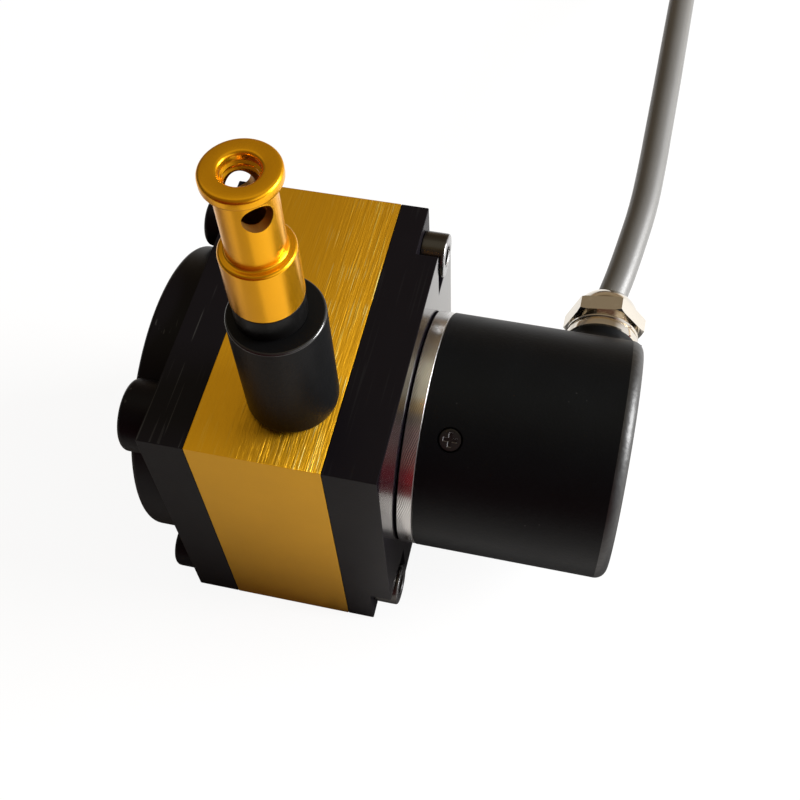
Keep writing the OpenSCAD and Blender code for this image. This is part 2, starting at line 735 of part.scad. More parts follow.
module code_disc() {
  slot_len = 2;
  slot_w = 0.5;
  color([0.75, 0.8, 0.85]) along_shaft(code_disc_x0) difference() {
    tube(code_disc_r, shaft_r + 1.4 + fit_gap, code_disc_t);
    for (k = [0 : code_slots - 1])
      rotate([0, 0, k * 360 / code_slots])
        translate([code_disc_r - slot_len - 0.6, -slot_w / 2, -eps])
          cube([slot_len, slot_w, code_disc_t + 2 * eps]);
  }
}

module sensor_head() {
  head_w = 7;
  arm_t = 1.4;
  air = 0.6;
  reach = 3.4;
  z0 = shaft_z + code_disc_r - reach;
  z1 = shaft_z + code_disc_r + 2.2;
  x0 = code_disc_x0 - air - arm_t;
  color([0.15, 0.15, 0.17]) difference() {
    translate([x0, -head_w / 2, z0]) cube([board_x0 - x0, head_w, z1 - z0]);
    translate([code_disc_x0 - air, -head_w / 2 - eps, z0 - eps])
      cube([code_disc_t + 2 * air, head_w + 2 * eps, reach + 0.8 + eps]);
  }
}

module circuit_board() {
  color("darkgreen") difference() {
    along_shaft(board_x0) cylinder(r = board_r, h = board_t);
    round_shaft(post_angles, post_pitch_r, board_x0 - eps)
      cylinder(r = board_screw_r + 0.1, h = board_t + 2 * eps, $fn = 24);
  }
}

board_screw_r = 0.8;

module board_posts() {
  color("silver") round_shaft(post_angles, post_pitch_r, skirt_x1)
    tube(post_r, board_screw_r + fit_gap, board_x0 - skirt_x1);
}

module board_screws() {
  head_h = 1.2;
  color("silver") round_shaft(post_angles, post_pitch_r, board_x0 + board_t) {
    cylinder(r = post_r, h = head_h);
    translate([0, 0, -board_t - 2]) cylinder(r = board_screw_r, h = board_t + 2 + eps, $fn = 24);
  }
}

can_screw_len = 4;

// Places the can's screws: Z points outwards and starts on the can's surface
module can_screw_places() {
  for (a = can_screw_angles)
    along_shaft(can_screw_x) rotate([0, 0, 180 + a]) rotate([0, 90, 0]) translate([0, 0, can_r]) children();
}

module encoder_can() {
  cavity_len = can_len - can_end_t;
  flare_h = 2.6;
  color([0.07, 0.07, 0.07]) difference() {
    union() {
      along_shaft(flange_x1) rounded_bar(can_r, can_len, can_round);
      along_gland(0) cylinder(r = gland_boss_r, h = boss_top_y);
      along_gland(boss_top_y - gland_boss_h - flare_h)
        cylinder(r1 = gland_boss_r + 2.2, r2 = gland_boss_r, h = flare_h + 1);
    }
    along_shaft(flange_x1 - eps) cylinder(r = can_inner_r, h = cavity_len + eps);
    along_shaft(can_x1) cylinder(r = can_r, h = gland_boss_r);
    along_gland(0) cylinder(r = gland_thread_r + fit_gap, h = boss_top_y + eps);
    can_screw_places() translate([0, 0, -can_wall - 1]) cylinder(r = can_screw_head_r + 0.1, h = can_wall + 2, $fn = 32);
  }
}

module can_screws() {
  recess_w = 0.55;
  head_h = can_wall - 0.1;
  color([0.1, 0.1, 0.1]) can_screw_places() translate([0, 0, -can_wall]) difference() {
    union() {
      cylinder(r = can_screw_head_r, h = head_h, $fn = 32);
      translate([0, 0, can_wall - can_screw_len]) cylinder(r = can_screw_shank_r, h = can_screw_len, $fn = 32);
    }
    for (turn = [0, 90])
      rotate([0, 0, turn]) translate([-can_screw_head_r * 0.6, -recess_w / 2, head_h - 0.6])
        cube([can_screw_head_r * 1.2, recess_w, 1]);
  }
}

// ---- cable gland ----

module gland_body() {
  thread_len = 6.5;
  groove = 0.5;
  color("khaki") difference() {
    union() {
      along_gland(boss_top_y - thread_len) cylinder(r = gland_thread_r, h = thread_len + eps);
      along_gland(boss_top_y) cylinder(r = gland_collar_r, h = collar_h - 2 * groove);
      along_gland(boss_top_y) cylinder(r = gland_collar_r - groove, h = collar_h + nut_gap);
      along_gland(boss_top_y + collar_h - groove) cylinder(r = gland_collar_r - 0.1, h = groove);
      along_gland(boss_top_y) cylinder(r = gland_tube_r, h = gland_tube_y1 - boss_top_y);
    }
    along_gland(boss_top_y - thread_len - eps)
      cylinder(r = cable_hole_r, h = gland_tube_y1 - boss_top_y + thread_len + 2 * eps);
  }
}

module gland_seal() {
  color("dimgray") along_gland(seal_y0) tube(gland_tube_r - fit_gap, cable_r + fit_gap, seal_y1 - seal_y0);
}

module gland_nut() {
  base_r = gland_nut_af / 2 - 0.25;
  crown_r = cable_r + 0.5;
  color("khaki") difference() {
    union() {
      along_gland(nut_y0) rotate([0, 0, gland_nut_turn]) hexagon(gland_nut_af, nut_hex_h);
      along_gland(nut_y0 + nut_hex_h - eps) rotate_extrude() polygon(concat([[0, 0]],
        [for (a = [0 : 7.5 : 90]) [crown_r + (base_r - crown_r) * cos(a), eps + nut_dome_h * sin(a)]],
        [[0, nut_dome_h + eps]]));
    }
    along_gland(nut_y0 - eps) cylinder(r = gland_tube_r + fit_gap, h = seal_y1 - nut_y0 + eps);
    along_gland(nut_y0) cylinder(r = cable_hole_r, h = nut_y1 - nut_y0 + eps);
  }
}

// ---- cable ----

cable_points = concat([cable_start, cable_exit], cable_route);

// Direction of the route at point k, from its neighbours
function route_dir(pts, k) =
  let (a = pts[max(k - 1, 0)], b = pts[min(k + 1, len(pts) - 1)]) (b - a) / norm(b - a);

// A ring of points round point k, square to the route
function route_ring(pts, k, r, sides) =
  let (d = route_dir(pts, k), side = cross(d, [0, 0, 1]), u = side / norm(side), v = cross(u, d))
  [for (s = [0 : sides - 1]) pts[k] + r * (cos(360 * s / sides) * u + sin(360 * s / sides) * v)];

module swept_tube(pts, r, sides) {
  rings = len(pts);
  points = [for (k = [0 : rings - 1]) each route_ring(pts, k, r, sides)];
  walls = [for (k = [0 : rings - 2], s = [0 : sides - 1])
    let (t = (s + 1) % sides)
    [k * sides + s, k * sides + t, (k + 1) * sides + t, (k + 1) * sides + s]];
  start_cap = [for (s = [sides - 1 : -1 : 0]) s];
  end_cap = [for (s = [0 : sides - 1]) (rings - 1) * sides + s];
  polyhedron(points = points, faces = concat(walls, [start_cap, end_cap]), convexity = 4);
}

module cable_run() {
  color("gray") swept_tube(cable_points, cable_r, cable_sides);
}

module cable_coil() {
  color("gray") translate([coil_centre[0], coil_centre[1], 0]) {
    translate([0, 0, coil_floor]) tube(coil_r_out, coil_r_in, coil_low_top - coil_floor);
    rotate([0, 0, coil_high_start]) rotate_extrude(angle = coil_high_angle) translate([coil_r_in + 0.2, coil_low_top - 1])
      square([coil_r_mid - coil_r_in - 0.2, coil_high_top - coil_low_top + 1]);
  }
}

module coil_ties() {
  slack = 0.3;
  in_x = sqrt(coil_r_in * coil_r_in - tie_w * tie_w / 4) - 0.01;
  inner = [
    [in_x, coil_floor], [coil_r_out, coil_floor], [coil_r_out, coil_low_top],
    [coil_r_mid, coil_high_top], [in_x, coil_high_top]
  ];
  outer = [
    [in_x - tie_t, coil_floor - tie_t], [coil_r_out + tie_t, coil_floor - tie_t],
    [coil_r_out + tie_t, coil_low_top + slack], [coil_r_mid + slack, coil_high_top + tie_t],
    [in_x - tie_t, coil_high_top + tie_t]
  ];
  color("black") for (a = tie_angles)
    translate([coil_centre[0], coil_centre[1], 0]) rotate([0, 0, a]) rotate([90, 0, 0])
      translate([0, 0, -tie_w / 2]) linear_extrude(height = tie_w) difference() {
        polygon(outer);
        polygon(inner);
      }
}

module lead_ends() {
  middle_r = (coil_r_in + coil_r_mid) / 2;
  middle_z = (coil_low_top + coil_high_top) / 2;
  color("firebrick") translate([coil_centre[0], coil_centre[1], 0]) for (k = [0 : core_count - 1])
    rotate([0, 0, coil_high_start + coil_high_angle]) rotate_extrude(angle = core_angle)
      translate([middle_r + core_ring_r * cos(72 * k), middle_z + core_ring_r * sin(72 * k)])
        circle(r = core_r_wire, $fn = 16);
}

drum_housing();
spring_cover();
encoder_plate();
corner_screws();
corner_pins();
bearing_carrier();
left_bearing();
left_bearing_inner();
mainspring();
spring_anchor();
spring_arbor();
spring_shaft();
drum();
drum_grub_screws();
wound_wire();
outlet_sleeve();
wire_wiper();
wire_guide();
wire_lead();
wire_ferrule();
stop_bumper();
end_fitting();
encoder_flange();
encoder_screws();
front_bearing();
front_bearing_inner();
rear_bearing();
rear_bearing_inner();
encoder_shaft();
disc_hub();
code_disc();
sensor_head();
circuit_board();
board_posts();
board_screws();
encoder_can();
can_screws();
gland_body();
gland_seal();
gland_nut();
cable_run();
cable_coil();
coil_ties();
lead_ends();
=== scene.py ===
"""Draw wire encoder: the finished pieces, their materials, the camera and the stage."""

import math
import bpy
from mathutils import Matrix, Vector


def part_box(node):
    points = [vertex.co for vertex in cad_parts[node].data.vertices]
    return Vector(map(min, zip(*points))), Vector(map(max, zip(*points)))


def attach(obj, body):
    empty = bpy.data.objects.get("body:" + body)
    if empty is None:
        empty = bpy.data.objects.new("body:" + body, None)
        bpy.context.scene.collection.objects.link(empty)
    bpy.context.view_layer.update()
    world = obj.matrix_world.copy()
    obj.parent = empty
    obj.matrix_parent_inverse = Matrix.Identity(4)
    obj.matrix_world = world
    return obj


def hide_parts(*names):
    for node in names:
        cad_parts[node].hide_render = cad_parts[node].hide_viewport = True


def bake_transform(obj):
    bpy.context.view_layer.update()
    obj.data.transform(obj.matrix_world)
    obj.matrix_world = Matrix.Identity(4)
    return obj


bl_info = {
    "name": "Draw wire encoder",
    "version": (1, 0, 0),
    "blender": (4, 5, 0),
    "location": "View3D > Sidebar > Encoder",
    "description": "Builds the finished pieces of a draw wire encoder and their materials",
    "category": "Object",
}

import bmesh
import bpy
from bpy.props import FloatProperty, FloatVectorProperty, IntProperty, PointerProperty
from mathutils import Matrix, Vector

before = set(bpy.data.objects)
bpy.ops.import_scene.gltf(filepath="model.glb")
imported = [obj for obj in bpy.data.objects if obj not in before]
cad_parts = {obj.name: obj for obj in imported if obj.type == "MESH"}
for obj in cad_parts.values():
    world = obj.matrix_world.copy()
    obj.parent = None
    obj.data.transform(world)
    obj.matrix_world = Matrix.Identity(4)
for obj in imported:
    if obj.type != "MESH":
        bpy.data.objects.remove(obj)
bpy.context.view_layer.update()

MM = 0.001
TURNS = {
    "X": (0, math.radians(90), 0),
    "-X": (0, math.radians(-90), 0),
    "Y": (math.radians(-90), 0, 0),
    "Z": (0, 0, 0),
}


def box_mm(node):
    """The lowest and highest corner of a rigid node, in millimetres."""
    low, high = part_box(node)
    return [c / MM for c in low], [c / MM for c in high]


# Places that the rigid parts fix, in millimetres
(HOUSE_X0, HOUSE_Y0, HOUSE_Z0), (HOUSE_X1, HOUSE_Y1, HOUSE_Z1) = box_mm("drum_housing")
SHAFT_Z = (HOUSE_Z0 + HOUSE_Z1) / 2
COVER_X0 = box_mm("spring_cover")[0][0]
PLATE_X1 = box_mm("encoder_plate")[1][0]
SLEEVE_LOW, SLEEVE_HIGH = box_mm("outlet_sleeve")
SLEEVE_X = (SLEEVE_LOW[0] + SLEEVE_HIGH[0]) / 2
FITTING_LOW, FITTING_HIGH = box_mm("end_fitting")
FITTING_Z0, FITTING_Z1 = FITTING_LOW[2], FITTING_HIGH[2]
WIRE_X = (FITTING_LOW[0] + FITTING_HIGH[0]) / 2
WIRE_Y = (SLEEVE_LOW[1] + SLEEVE_HIGH[1]) / 2
SLEEVE_Z1 = SLEEVE_HIGH[2]
BUMPER_Z0, BUMPER_Z1 = box_mm("stop_bumper")[0][2], box_mm("stop_bumper")[1][2]
FLANGE_X0 = box_mm("encoder_flange")[0][0]
CAN_LOW, CAN_HIGH = box_mm("encoder_can")
CAN_X0, CAN_X1, CAN_Y1 = CAN_LOW[0], CAN_HIGH[0], CAN_HIGH[1]
NUT_LOW, NUT_HIGH = box_mm("gland_nut")
GLAND_X = (NUT_LOW[0] + NUT_HIGH[0]) / 2

# Sizes and places that several pieces share, in millimetres and degrees
CORNER_INSET = 5
CORNER_Y0, CORNER_Y1 = HOUSE_Y0 + CORNER_INSET, HOUSE_Y1 - CORNER_INSET
CORNER_Z0, CORNER_Z1 = HOUSE_Z0 + CORNER_INSET, HOUSE_Z1 - CORNER_INSET
CORNERS = {
    "rear_top": (CORNER_Y1, CORNER_Z1),
    "front_bottom": (CORNER_Y0, CORNER_Z0),
    "front_top": (CORNER_Y0, CORNER_Z1),
    "rear_bottom": (CORNER_Y1, CORNER_Z0),
}
NOTCHED = ("rear_top", "front_bottom")
PIN_HOLE_R, SCREW_HOLE_R = 2.02, 2.2
CABLE_BORE_R = 2.85
CAN_SCREW_X = CAN_X0 + 4.5
CAN_SCREW_ANGLES = (34.5, 154.5, 274.5)
FLANGE_SCREW_CIRCLE_R = 15.4
FLANGE_SCREWS = [
    (FLANGE_SCREW_CIRCLE_R * math.sin(a), SHAFT_Z - FLANGE_SCREW_CIRCLE_R * math.cos(a))
    for a in map(math.radians, (30, 150, 270))
]


# ---- sizes and colours that can be changed ----


def length(name, description, millimetres):
    return FloatProperty(
        name=name, description=description, default=millimetres * MM, min=0, unit="LENGTH", precision=5
    )


def colour(name, description, value):
    return FloatVectorProperty(
        name=name, description=description, default=value, size=3, min=0, max=1, subtype="COLOR"
    )


class DWE_HousingSettings(bpy.types.PropertyGroup):
    cover_plate: length("Cover plate", "Thickness of the spring cover's square plate", 7.1)
    chamber_radius: length("Chamber radius", "Radius of the drum's chamber", 20)
    boss_radius: length("Boss radius", "Radius of the round boss on the spring cover", 23.8)
    thin_plate: length("Thin plate", "Thickness of the encoder plate at its notches", 4.5)
    notch: length("Notch", "Side of the square notches of the encoder plate", 9.5)
    edge: length("Edge softening", "Width of the softened edges of the block and plates", 0.18)
    gold: colour("Gold", "Colour of the anodised housing", (0.95, 0.49, 0.02))
    black: colour("Black", "Colour of the black anodised plates", (0.0048, 0.0037, 0.0056))


class DWE_OutletSettings(bpy.types.PropertyGroup):
    sleeve_radius: length("Sleeve radius", "Outer radius of the outlet sleeve", 6.65)
    bumper_radius: length("Bumper radius", "Radius of the stop bumper", 4.8)
    wire_radius: length("Wire radius", "Radius of the measuring wire", 0.3)
    body_radius: length("Fitting radius", "Radius of the fitting's lower body", 4.9)
    neck_radius: length("Neck radius", "Radius of the fitting's neck", 3.8)
    head_radius: length("Head radius", "Radius of the fitting's head", 4.9)
    cross_turn: FloatProperty(
        name="Cross hole direction",
        description="Turn of the cross hole from the shaft's direction",
        default=math.radians(-50),
        subtype="ANGLE",
    )
    gloss_gold: colour("Glossy gold", "Colour of the anodised fitting", (0.95, 0.435, 0.006))


class DWE_EncoderSettings(bpy.types.PropertyGroup):
    can_radius: length("Can radius", "Outer radius of the can", 19.25)
    can_wall: length("Can wall", "Wall of the can", 1)
    rim: length("Rim rounding", "Rounding of the can's outer rim", 1.9)
    ring_radius: length("Ring radius", "Outer radius of the flange ring", 19.2)
    nut_flats: length("Nut width", "Width across the flats of the gland's nut", 12.1)
    nickel: colour("Nickel", "Colour of the plated gland", (0.84, 0.785, 0.695))


class DWE_CableSettings(bpy.types.PropertyGroup):
    radius: length("Cable radius", "Outer radius of the cable", 2.6)
    real_length: length("Cable length", "Length of the cable from the gland to its end", 970)
    coil_inner: length("Inner turn", "Radius of the coil's inner turns", 25.4)
    coil_outer: length("Outer turn", "Radius of the coil's outer turns", 30.6)
    sheath: colour("Sheath", "Colour of the cable's sheath", (0.12, 0.119, 0.115))
    cores: IntProperty(name="Cores", description="Number of cores in the cable", default=5, min=3, max=6)


class DWE_StageSettings(bpy.types.PropertyGroup):
    floor: colour("Floor", "Colour of the floor", (0.9, 0.9, 0.9))
    window_power: FloatProperty(
        name="Window light",
        description="Power of the large soft light on the right",
        default=2.2,
        min=0,
        unit="POWER",
    )


# ---- shaping ----


def deselect():
    if bpy.context.object and bpy.context.object.mode != "OBJECT":
        bpy.ops.object.mode_set(mode="OBJECT")
    bpy.ops.object.select_all(action="DESELECT")


def take(obj):
    """Makes one object the only selected and active one."""
    deselect()
    obj.select_set(True)
    bpy.context.view_layer.objects.active = obj


def named(name):
    """Names the object that was just made."""
    obj = bpy.context.object
    obj.name = name
    return obj


def settle(obj, matrix):
    """Moves and turns a piece, and puts its place in its mesh."""
    take(obj)
    obj.matrix_world = matrix
    bpy.ops.object.transform_apply(location=True, rotation=True, scale=True)
    return obj


def place(obj, at=(0, 0, 0), axis="Z", roll=0.0):
    """Turns a piece drawn along Z onto an axis and moves it."""
    turn = Matrix.Identity(4)
    for k, angle in enumerate(TURNS[axis]):
        turn = Matrix.Rotation(angle, 4, "XYZ"[k]) @ turn
    return settle(obj, Matrix.Translation(Vector(at) * MM) @ turn @ Matrix.Rotation(roll, 4, "Z"))


def chain(name, points, y=0.0):
    """A chain of edges through points of (x, z), left in edit mode with all of it selected."""
    deselect()
    here = Vector((points[0][0], y, points[0][1])) * MM
    bpy.ops.mesh.primitive_plane_add(size=MM, location=here)
    obj = named(name)
    bpy.ops.object.transform_apply(location=True, rotation=True, scale=True)
    bpy.ops.object.mode_set(mode="EDIT")
    bpy.ops.mesh.select_all(action="SELECT")
    bpy.ops.mesh.merge(type="CENTER")
    for x, z in points[1:]:
        there = Vector((x, y, z)) * MM
        bpy.ops.mesh.extrude_region_move(TRANSFORM_OT_translate={"value": there - here})
        here = there
    bpy.ops.mesh.select_all(action="SELECT")
    return obj


def turned(name, profile, steps):
    """A profile of (radius, height) spun round Z; one that starts off the axis is closed."""
    closed = profile[0][0] > 0
    obj = chain(name, profile + profile[:1] if closed else profile)
    bpy.ops.mesh.spin(steps=steps, angle=2 * math.pi, center=(0, 0, 0), axis=(0, 0, 1))
    bpy.ops.mesh.select_all(action="SELECT")
    bpy.ops.mesh.remove_doubles(threshold=1e-7)
    bpy.ops.mesh.normals_make_consistent(inside=False)
    bpy.ops.object.mode_set(mode="OBJECT")
    return obj


def arc(middle, radius, start, end, count=6):
    """Points on a rounded corner of a profile, with angles in degrees."""
    angles = [math.radians(start + (end - start) * k / count) for k in range(count + 1)]
    return [(middle[0] + radius * math.cos(a), middle[1] + radius * math.sin(a)) for a in angles]


def block(name, low, high):
    """A rectangular block between two corners."""
    deselect()
    middle = [(a + b) / 2 * MM for a, b in zip(low, high)]
    sides = [(b - a) * MM for a, b in zip(low, high)]
    bpy.ops.mesh.primitive_cube_add(size=1, location=middle, scale=sides)
    obj = named(name)
    bpy.ops.object.transform_apply(location=True, rotation=True, scale=True)
    return obj


def bar(radius, at, length_mm, axis="Z", sides=64, top_radius=None, roll=0.0):
    """A round or many-sided bar that starts at a point: a tool for a cut, or a piece's start."""
    deselect()
    bpy.ops.mesh.primitive_cone_add(
        vertices=sides,
        radius1=radius * MM,
        radius2=(radius if top_radius is None else top_radius) * MM,
        depth=length_mm * MM,
        location=(0, 0, length_mm / 2 * MM),
    )
    obj = bpy.context.object
    bpy.ops.object.transform_apply(location=True, rotation=True, scale=True)
    return place(obj, at, axis, roll)


def apply_modifiers(obj):
    take(obj)
    for modifier in list(obj.modifiers):
        bpy.ops.object.modifier_apply(modifier=modifier.name)


def soften(obj, width):
    """Rounds all edges that turn by more than 30 degrees."""
    m = obj.modifiers.new("Softened edges", "BEVEL")
    m.width, m.segments, m.limit_method, m.angle_limit = width * MM, 2, "ANGLE", math.radians(30)
    apply_modifiers(obj)


def combine(obj, tools, how="DIFFERENCE"):
    """Cuts the tools out of a piece, or joins them to it, and removes them."""
    for tool in tools:
        m = obj.modifiers.new("Shape", "BOOLEAN")
        m.object, m.operation, m.solver = tool, how, "EXACT"
        apply_modifiers(obj)
        bpy.data.objects.remove(tool, do_unlink=True)


def join(name, objects):
    """Makes one piece of several shells."""
    take(objects[0])
    for o in objects[1:]:
        o.select_set(True)
    bpy.ops.object.join()
    return named(name)


def finish_piece(obj, body, materials, nodes=(), smooth=30):
    """Smooths a piece, gives it its materials, and lets it ride on its body."""
    take(obj)
    bpy.ops.object.shade_smooth_by_angle(angle=math.radians(smooth))
    even = obj.modifiers.new("Even shading", "WEIGHTED_NORMAL")
    even.keep_sharp = True
    apply_modifiers(obj)
    for m in materials:
        obj.data.materials.append(m)
    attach(obj, body)
    if nodes:
        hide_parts(*nodes)


def paint_faces(obj, test, index):
    """Gives the faces that pass a test of (middle, normal) another of the piece's materials."""
    for face in obj.data.polygons:
        if test(face.center / MM, face.normal):
            face.material_index = index


# ---- material effects, shared by several materials ----


def feed(tree, socket, value):
    """Links an output to a socket, or sets the socket's own value."""
    if isinstance(value, bpy.types.NodeSocket):
        tree.links.new(value, socket)
    else:
        socket.default_value = value


def add(tree, kind, settings=None, **inputs):
    """A node with its settings; an input is named as its socket, or i and the socket's number."""
    node = tree.nodes.new("ShaderNode" + kind)
    for name, value in (settings or {}).items():
        setattr(node, name, value)
    for name, value in inputs.items():
        by_number = name[0] == "i" and name[1:].isdigit()
        feed(tree, node.inputs[int(name[1:]) if by_number else name.replace("_", " ")], value)
    return node


def math_node(tree, operation, a, b=0.0):
    return add(tree, "Math", {"operation": operation}, i0=a, i1=b).outputs[0]


def times(tree, a, b):
    return math_node(tree, "MULTIPLY", a, b)


def plus(tree, a, b):
    return math_node(tree, "ADD", a, b)


def fade(tree, value, start, end):
    """A smooth step from 0 to 1 while the value goes from start to end."""
    smooth = {"interpolation_type": "SMOOTHSTEP"}
    return add(tree, "MapRange", smooth, Value=value, i1=start, i2=end).outputs[0]


def split(tree, vector):
    """The x, y and z of a vector."""
    return add(tree, "SeparateXYZ", i0=vector).outputs


def scaled(tree, vector, factors):
    return add(tree, "VectorMath", {"operation": "MULTIPLY"}, i0=vector, i1=factors).outputs[0]


def noise(tree, vector, scale, detail, **inputs):
    return add(tree, "TexNoise", Vector=vector, Scale=scale, Detail=detail, **inputs).outputs[0]


def ramp(tree, value, stops):
    """Maps a value through grey or coloured stops."""
    node = add(tree, "ValToRGB", i0=value)
    band = node.color_ramp
    while len(band.elements) < len(stops):
        band.elements.new(0.5)
    for element, (position, tone) in zip(band.elements, stops):
        element.position = position
        element.color = (*tone, 1) if isinstance(tone, tuple) else (tone, tone, tone, 1)
    return node.outputs[0]


def shared(name, inputs, outputs, draw):
    """A node group that takes a vector and more inputs; it is drawn when first asked for."""
    if name in bpy.data.node_groups:
        return bpy.data.node_groups[name]
    group = bpy.data.node_groups.new(name, "ShaderNodeTree")
    group.interface.new_socket("Vector", in_out="INPUT", socket_type="NodeSocketVector")
    for socket, value in inputs.items():
        kind = "NodeSocketFloat" if isinstance(value, float) else "NodeSocketVector"
        made = group.interface.new_socket(socket, in_out="INPUT", socket_type=kind)
        made.default_value = value
    for socket in outputs:
        group.interface.new_socket(socket, in_out="OUTPUT", socket_type="NodeSocketFloat")
    start, end = group.nodes.new("NodeGroupInput"), group.nodes.new("NodeGroupOutput")
    given = [start.outputs[k] for k in range(len(inputs) + 1)]
    for socket, value in zip(end.inputs, draw(group, *given)):
        feed(group, socket, value)
    return group


def draw_streaks(tree, where, scale):
    spread = scaled(tree, where, scale)
    fine = noise(tree, spread, 1.0, 3.0, Roughness=0.6)
    broad = noise(tree, scaled(tree, spread, (0.31, 0.37, 0.33)), 1.0, 2.0)
    height = plus(tree, times(tree, fine, 0.6), times(tree, broad, 0.4))
    return height, ramp(tree, fine, [(0.60, 0.0), (0.72, 1.0)])


def streak_group():
    """Fine parallel scratches: long and thin features along one axis."""
    return shared("Streaks", {"Scale": (4000, 80, 80)}, ("Height", "Bright lines"), draw_streaks)


def draw_grain(tree, where, grain_scale, mottle_scale):
    grain = noise(tree, where, grain_scale, 2.0)
    mottle = noise(tree, where, mottle_scale, 4.0, Roughness=0.6)
    cells = add(tree, "TexVoronoi", Vector=where, Scale=times(tree, mottle_scale, 6.0)).outputs[0]
    specks = ramp(tree, cells, [(0.0, 1.0), (0.13, 0.0)])
    return grain, mottle, times(tree, specks, ramp(tree, mottle, [(0.64, 0.0), (0.7, 1.0)]))


def grain_group():
    """Fine even grain with slow mottling, as on a coated or blasted skin."""
    scales = {"Grain scale": 3000.0, "Mottle scale": 200.0}
    return shared("Skin grain", scales, ("Grain", "Mottle", "Specks"), draw_grain)


def draw_scratches(tree, where, scale, spread):
    thin = ramp(tree, noise(tree, scaled(tree, where, scale), 1.0, 0.0), [(0.68, 0.0), (0.75, 1.0)])
    level = plus(tree, noise(tree, where, 110.0, 1.0), math_node(tree, "SUBTRACT", spread, 0.5))
    return (times(tree, thin, ramp(tree, level, [(0.5, 0.0), (0.64, 1.0)])),)


def scratch_group():
    """Sparse hairline scratches that run along one axis."""
    inputs = {"Scale": (3600, 60, 3600), "Spread": 0.6}
    return shared("Hairline scratches", inputs, ("Scratches",), draw_scratches)


def new_material(name, **values):
    """A material with a Principled shader whose plain values are set on its own sockets."""
    material = bpy.data.materials.new(name)
    material.use_nodes = True
    tree = material.node_tree
    shader = tree.nodes["Principled BSDF"]
    for socket, value in values.items():
        shader.inputs[socket.replace("_", " ")].default_value = value
    where = tree.nodes.new("ShaderNodeTexCoord").outputs["Object"]
    return material, tree, shader, where


def use(tree, group, **inputs):
    """The outputs of a shared effect, placed in a material with its own values."""
    return add(tree, "Group", {"node_tree": group}, **inputs).outputs


def use_grain(tree, where, grain, mottle):
    return use(tree, grain_group(), Vector=where, Grain_scale=grain, Mottle_scale=mottle)


def upward(tree):
    """How far the surface faces up, from -1 to 1."""
    return split(tree, add(tree, "NewGeometry").outputs["Normal"])[2]


def bump(tree, shader, height, distance):
    node = add(tree, "Bump", Height=height, Distance=distance, Strength=1.0)
    feed(tree, shader.inputs["Normal"], node.outputs[0])


def paint(tree, shader, colour_socket):
    feed(tree, shader.inputs["Base Color"], colour_socket)


def roughen(tree, shader, start, mask, amount):
    """Sets the roughness to a start value that rises with a mask."""
    feed(tree, shader.inputs["Roughness"], plus(tree, start, times(tree, mask, amount)))


def blend_colours(tree, factor, a, b):
    """One colour where the factor is 0, and another where it is 1."""
    node = add(tree, "Mix", {"data_type": "RGBA"}, i0=factor)
    for socket, value in ((node.inputs[6], a), (node.inputs[7], b)):
        feed(tree, socket, (*value, 1) if isinstance(value, tuple) else value)
    return node.outputs[2]


def shade(colour_value, factor):
    return tuple(min(1.0, c * factor) for c in colour_value)


def tones(tree, mask, base, low, high):
    """A colour, multiplied by low where the mask is 0 and by high where it is 1."""
    return blend_colours(tree, mask, shade(base, low), shade(base, high))


def housing_gold(base):
    """Gold anodised block: coarse brush streaks on its top, a fine satin skin elsewhere; the top's streaks
    and scratches carry painted highlight colours, brightest on the right.
    """
    m, tree, shader, where = new_material("Gold anodised block", Metallic=1.0, Roughness=0.36)
    streaks = use(tree, streak_group(), Vector=where, Scale=(4200, 110, 110))
    glints = use(tree, scratch_group(), Vector=where, Scale=(5200, 150, 5200), Spread=0.64)
    skin = use_grain(tree, where, 2600.0, 120.0)
    top = math_node(tree, "GREATER_THAN", upward(tree), 0.7)
    x, y, _ = split(tree, where)
    side = fade(tree, x, -0.004, 0.009)
    # Painted highlights: the brush lines and hairline scratches on the top get bright yellow colours,
    # strongest on the right side.
    lines = times(tree, streaks["Bright lines"], plus(tree, 0.25, times(tree, side, 0.75)))
    lit_streaks = blend_colours(tree, lines, shade(base, 0.98), (1.0, 0.77, 0.15))
    lit_streaks = blend_colours(tree, times(tree, glints[0], side), lit_streaks, (1.0, 0.84, 0.26))
    mottled = tones(tree, skin["Mottle"], base, 0.93, 1.07)
    paint(tree, shader, blend_colours(tree, top, mottled, lit_streaks))
    ahead = times(tree, fade(tree, y, -0.015, -0.021), fade(tree, x, -0.006, -0.001))
    coarse = math_node(tree, "MAXIMUM", side, ahead)
    depth = times(tree, top, plus(tree, 0.8, times(tree, coarse, 1.4)))
    brushed = times(tree, streaks["Height"], depth)
    bump(tree, shader, plus(tree, brushed, times(tree, skin["Grain"], 0.08)), 0.0001)
    roughen(tree, shader, 0.36, top, 0.07)
    feed(tree, shader.inputs["Tangent"], add(tree, "CombineXYZ", i0=1.0).outputs[0])
    feed(tree, shader.inputs["Anisotropic"], times(tree, times(tree, top, 0.75), side))
    return m


def fitting_gold(base, name="Gold anodised fitting", rough=0.23):
    """Glossy gold anodised turned surface with very fine turning lines."""
    m, tree, shader, where = new_material(name, Metallic=0.86, Roughness=rough)
    skin = use_grain(tree, where, 1800.0, 260.0)
    paint(tree, shader, tones(tree, skin["Mottle"], base, 0.94, 1.06))
    lines = use(tree, streak_group(), Vector=where, Scale=(120, 120, 5000))
    bump(tree, shader, lines["Height"], 0.0000015)
    roughen(tree, shader, rough - 0.04, skin["Mottle"], 0.08)
    return m


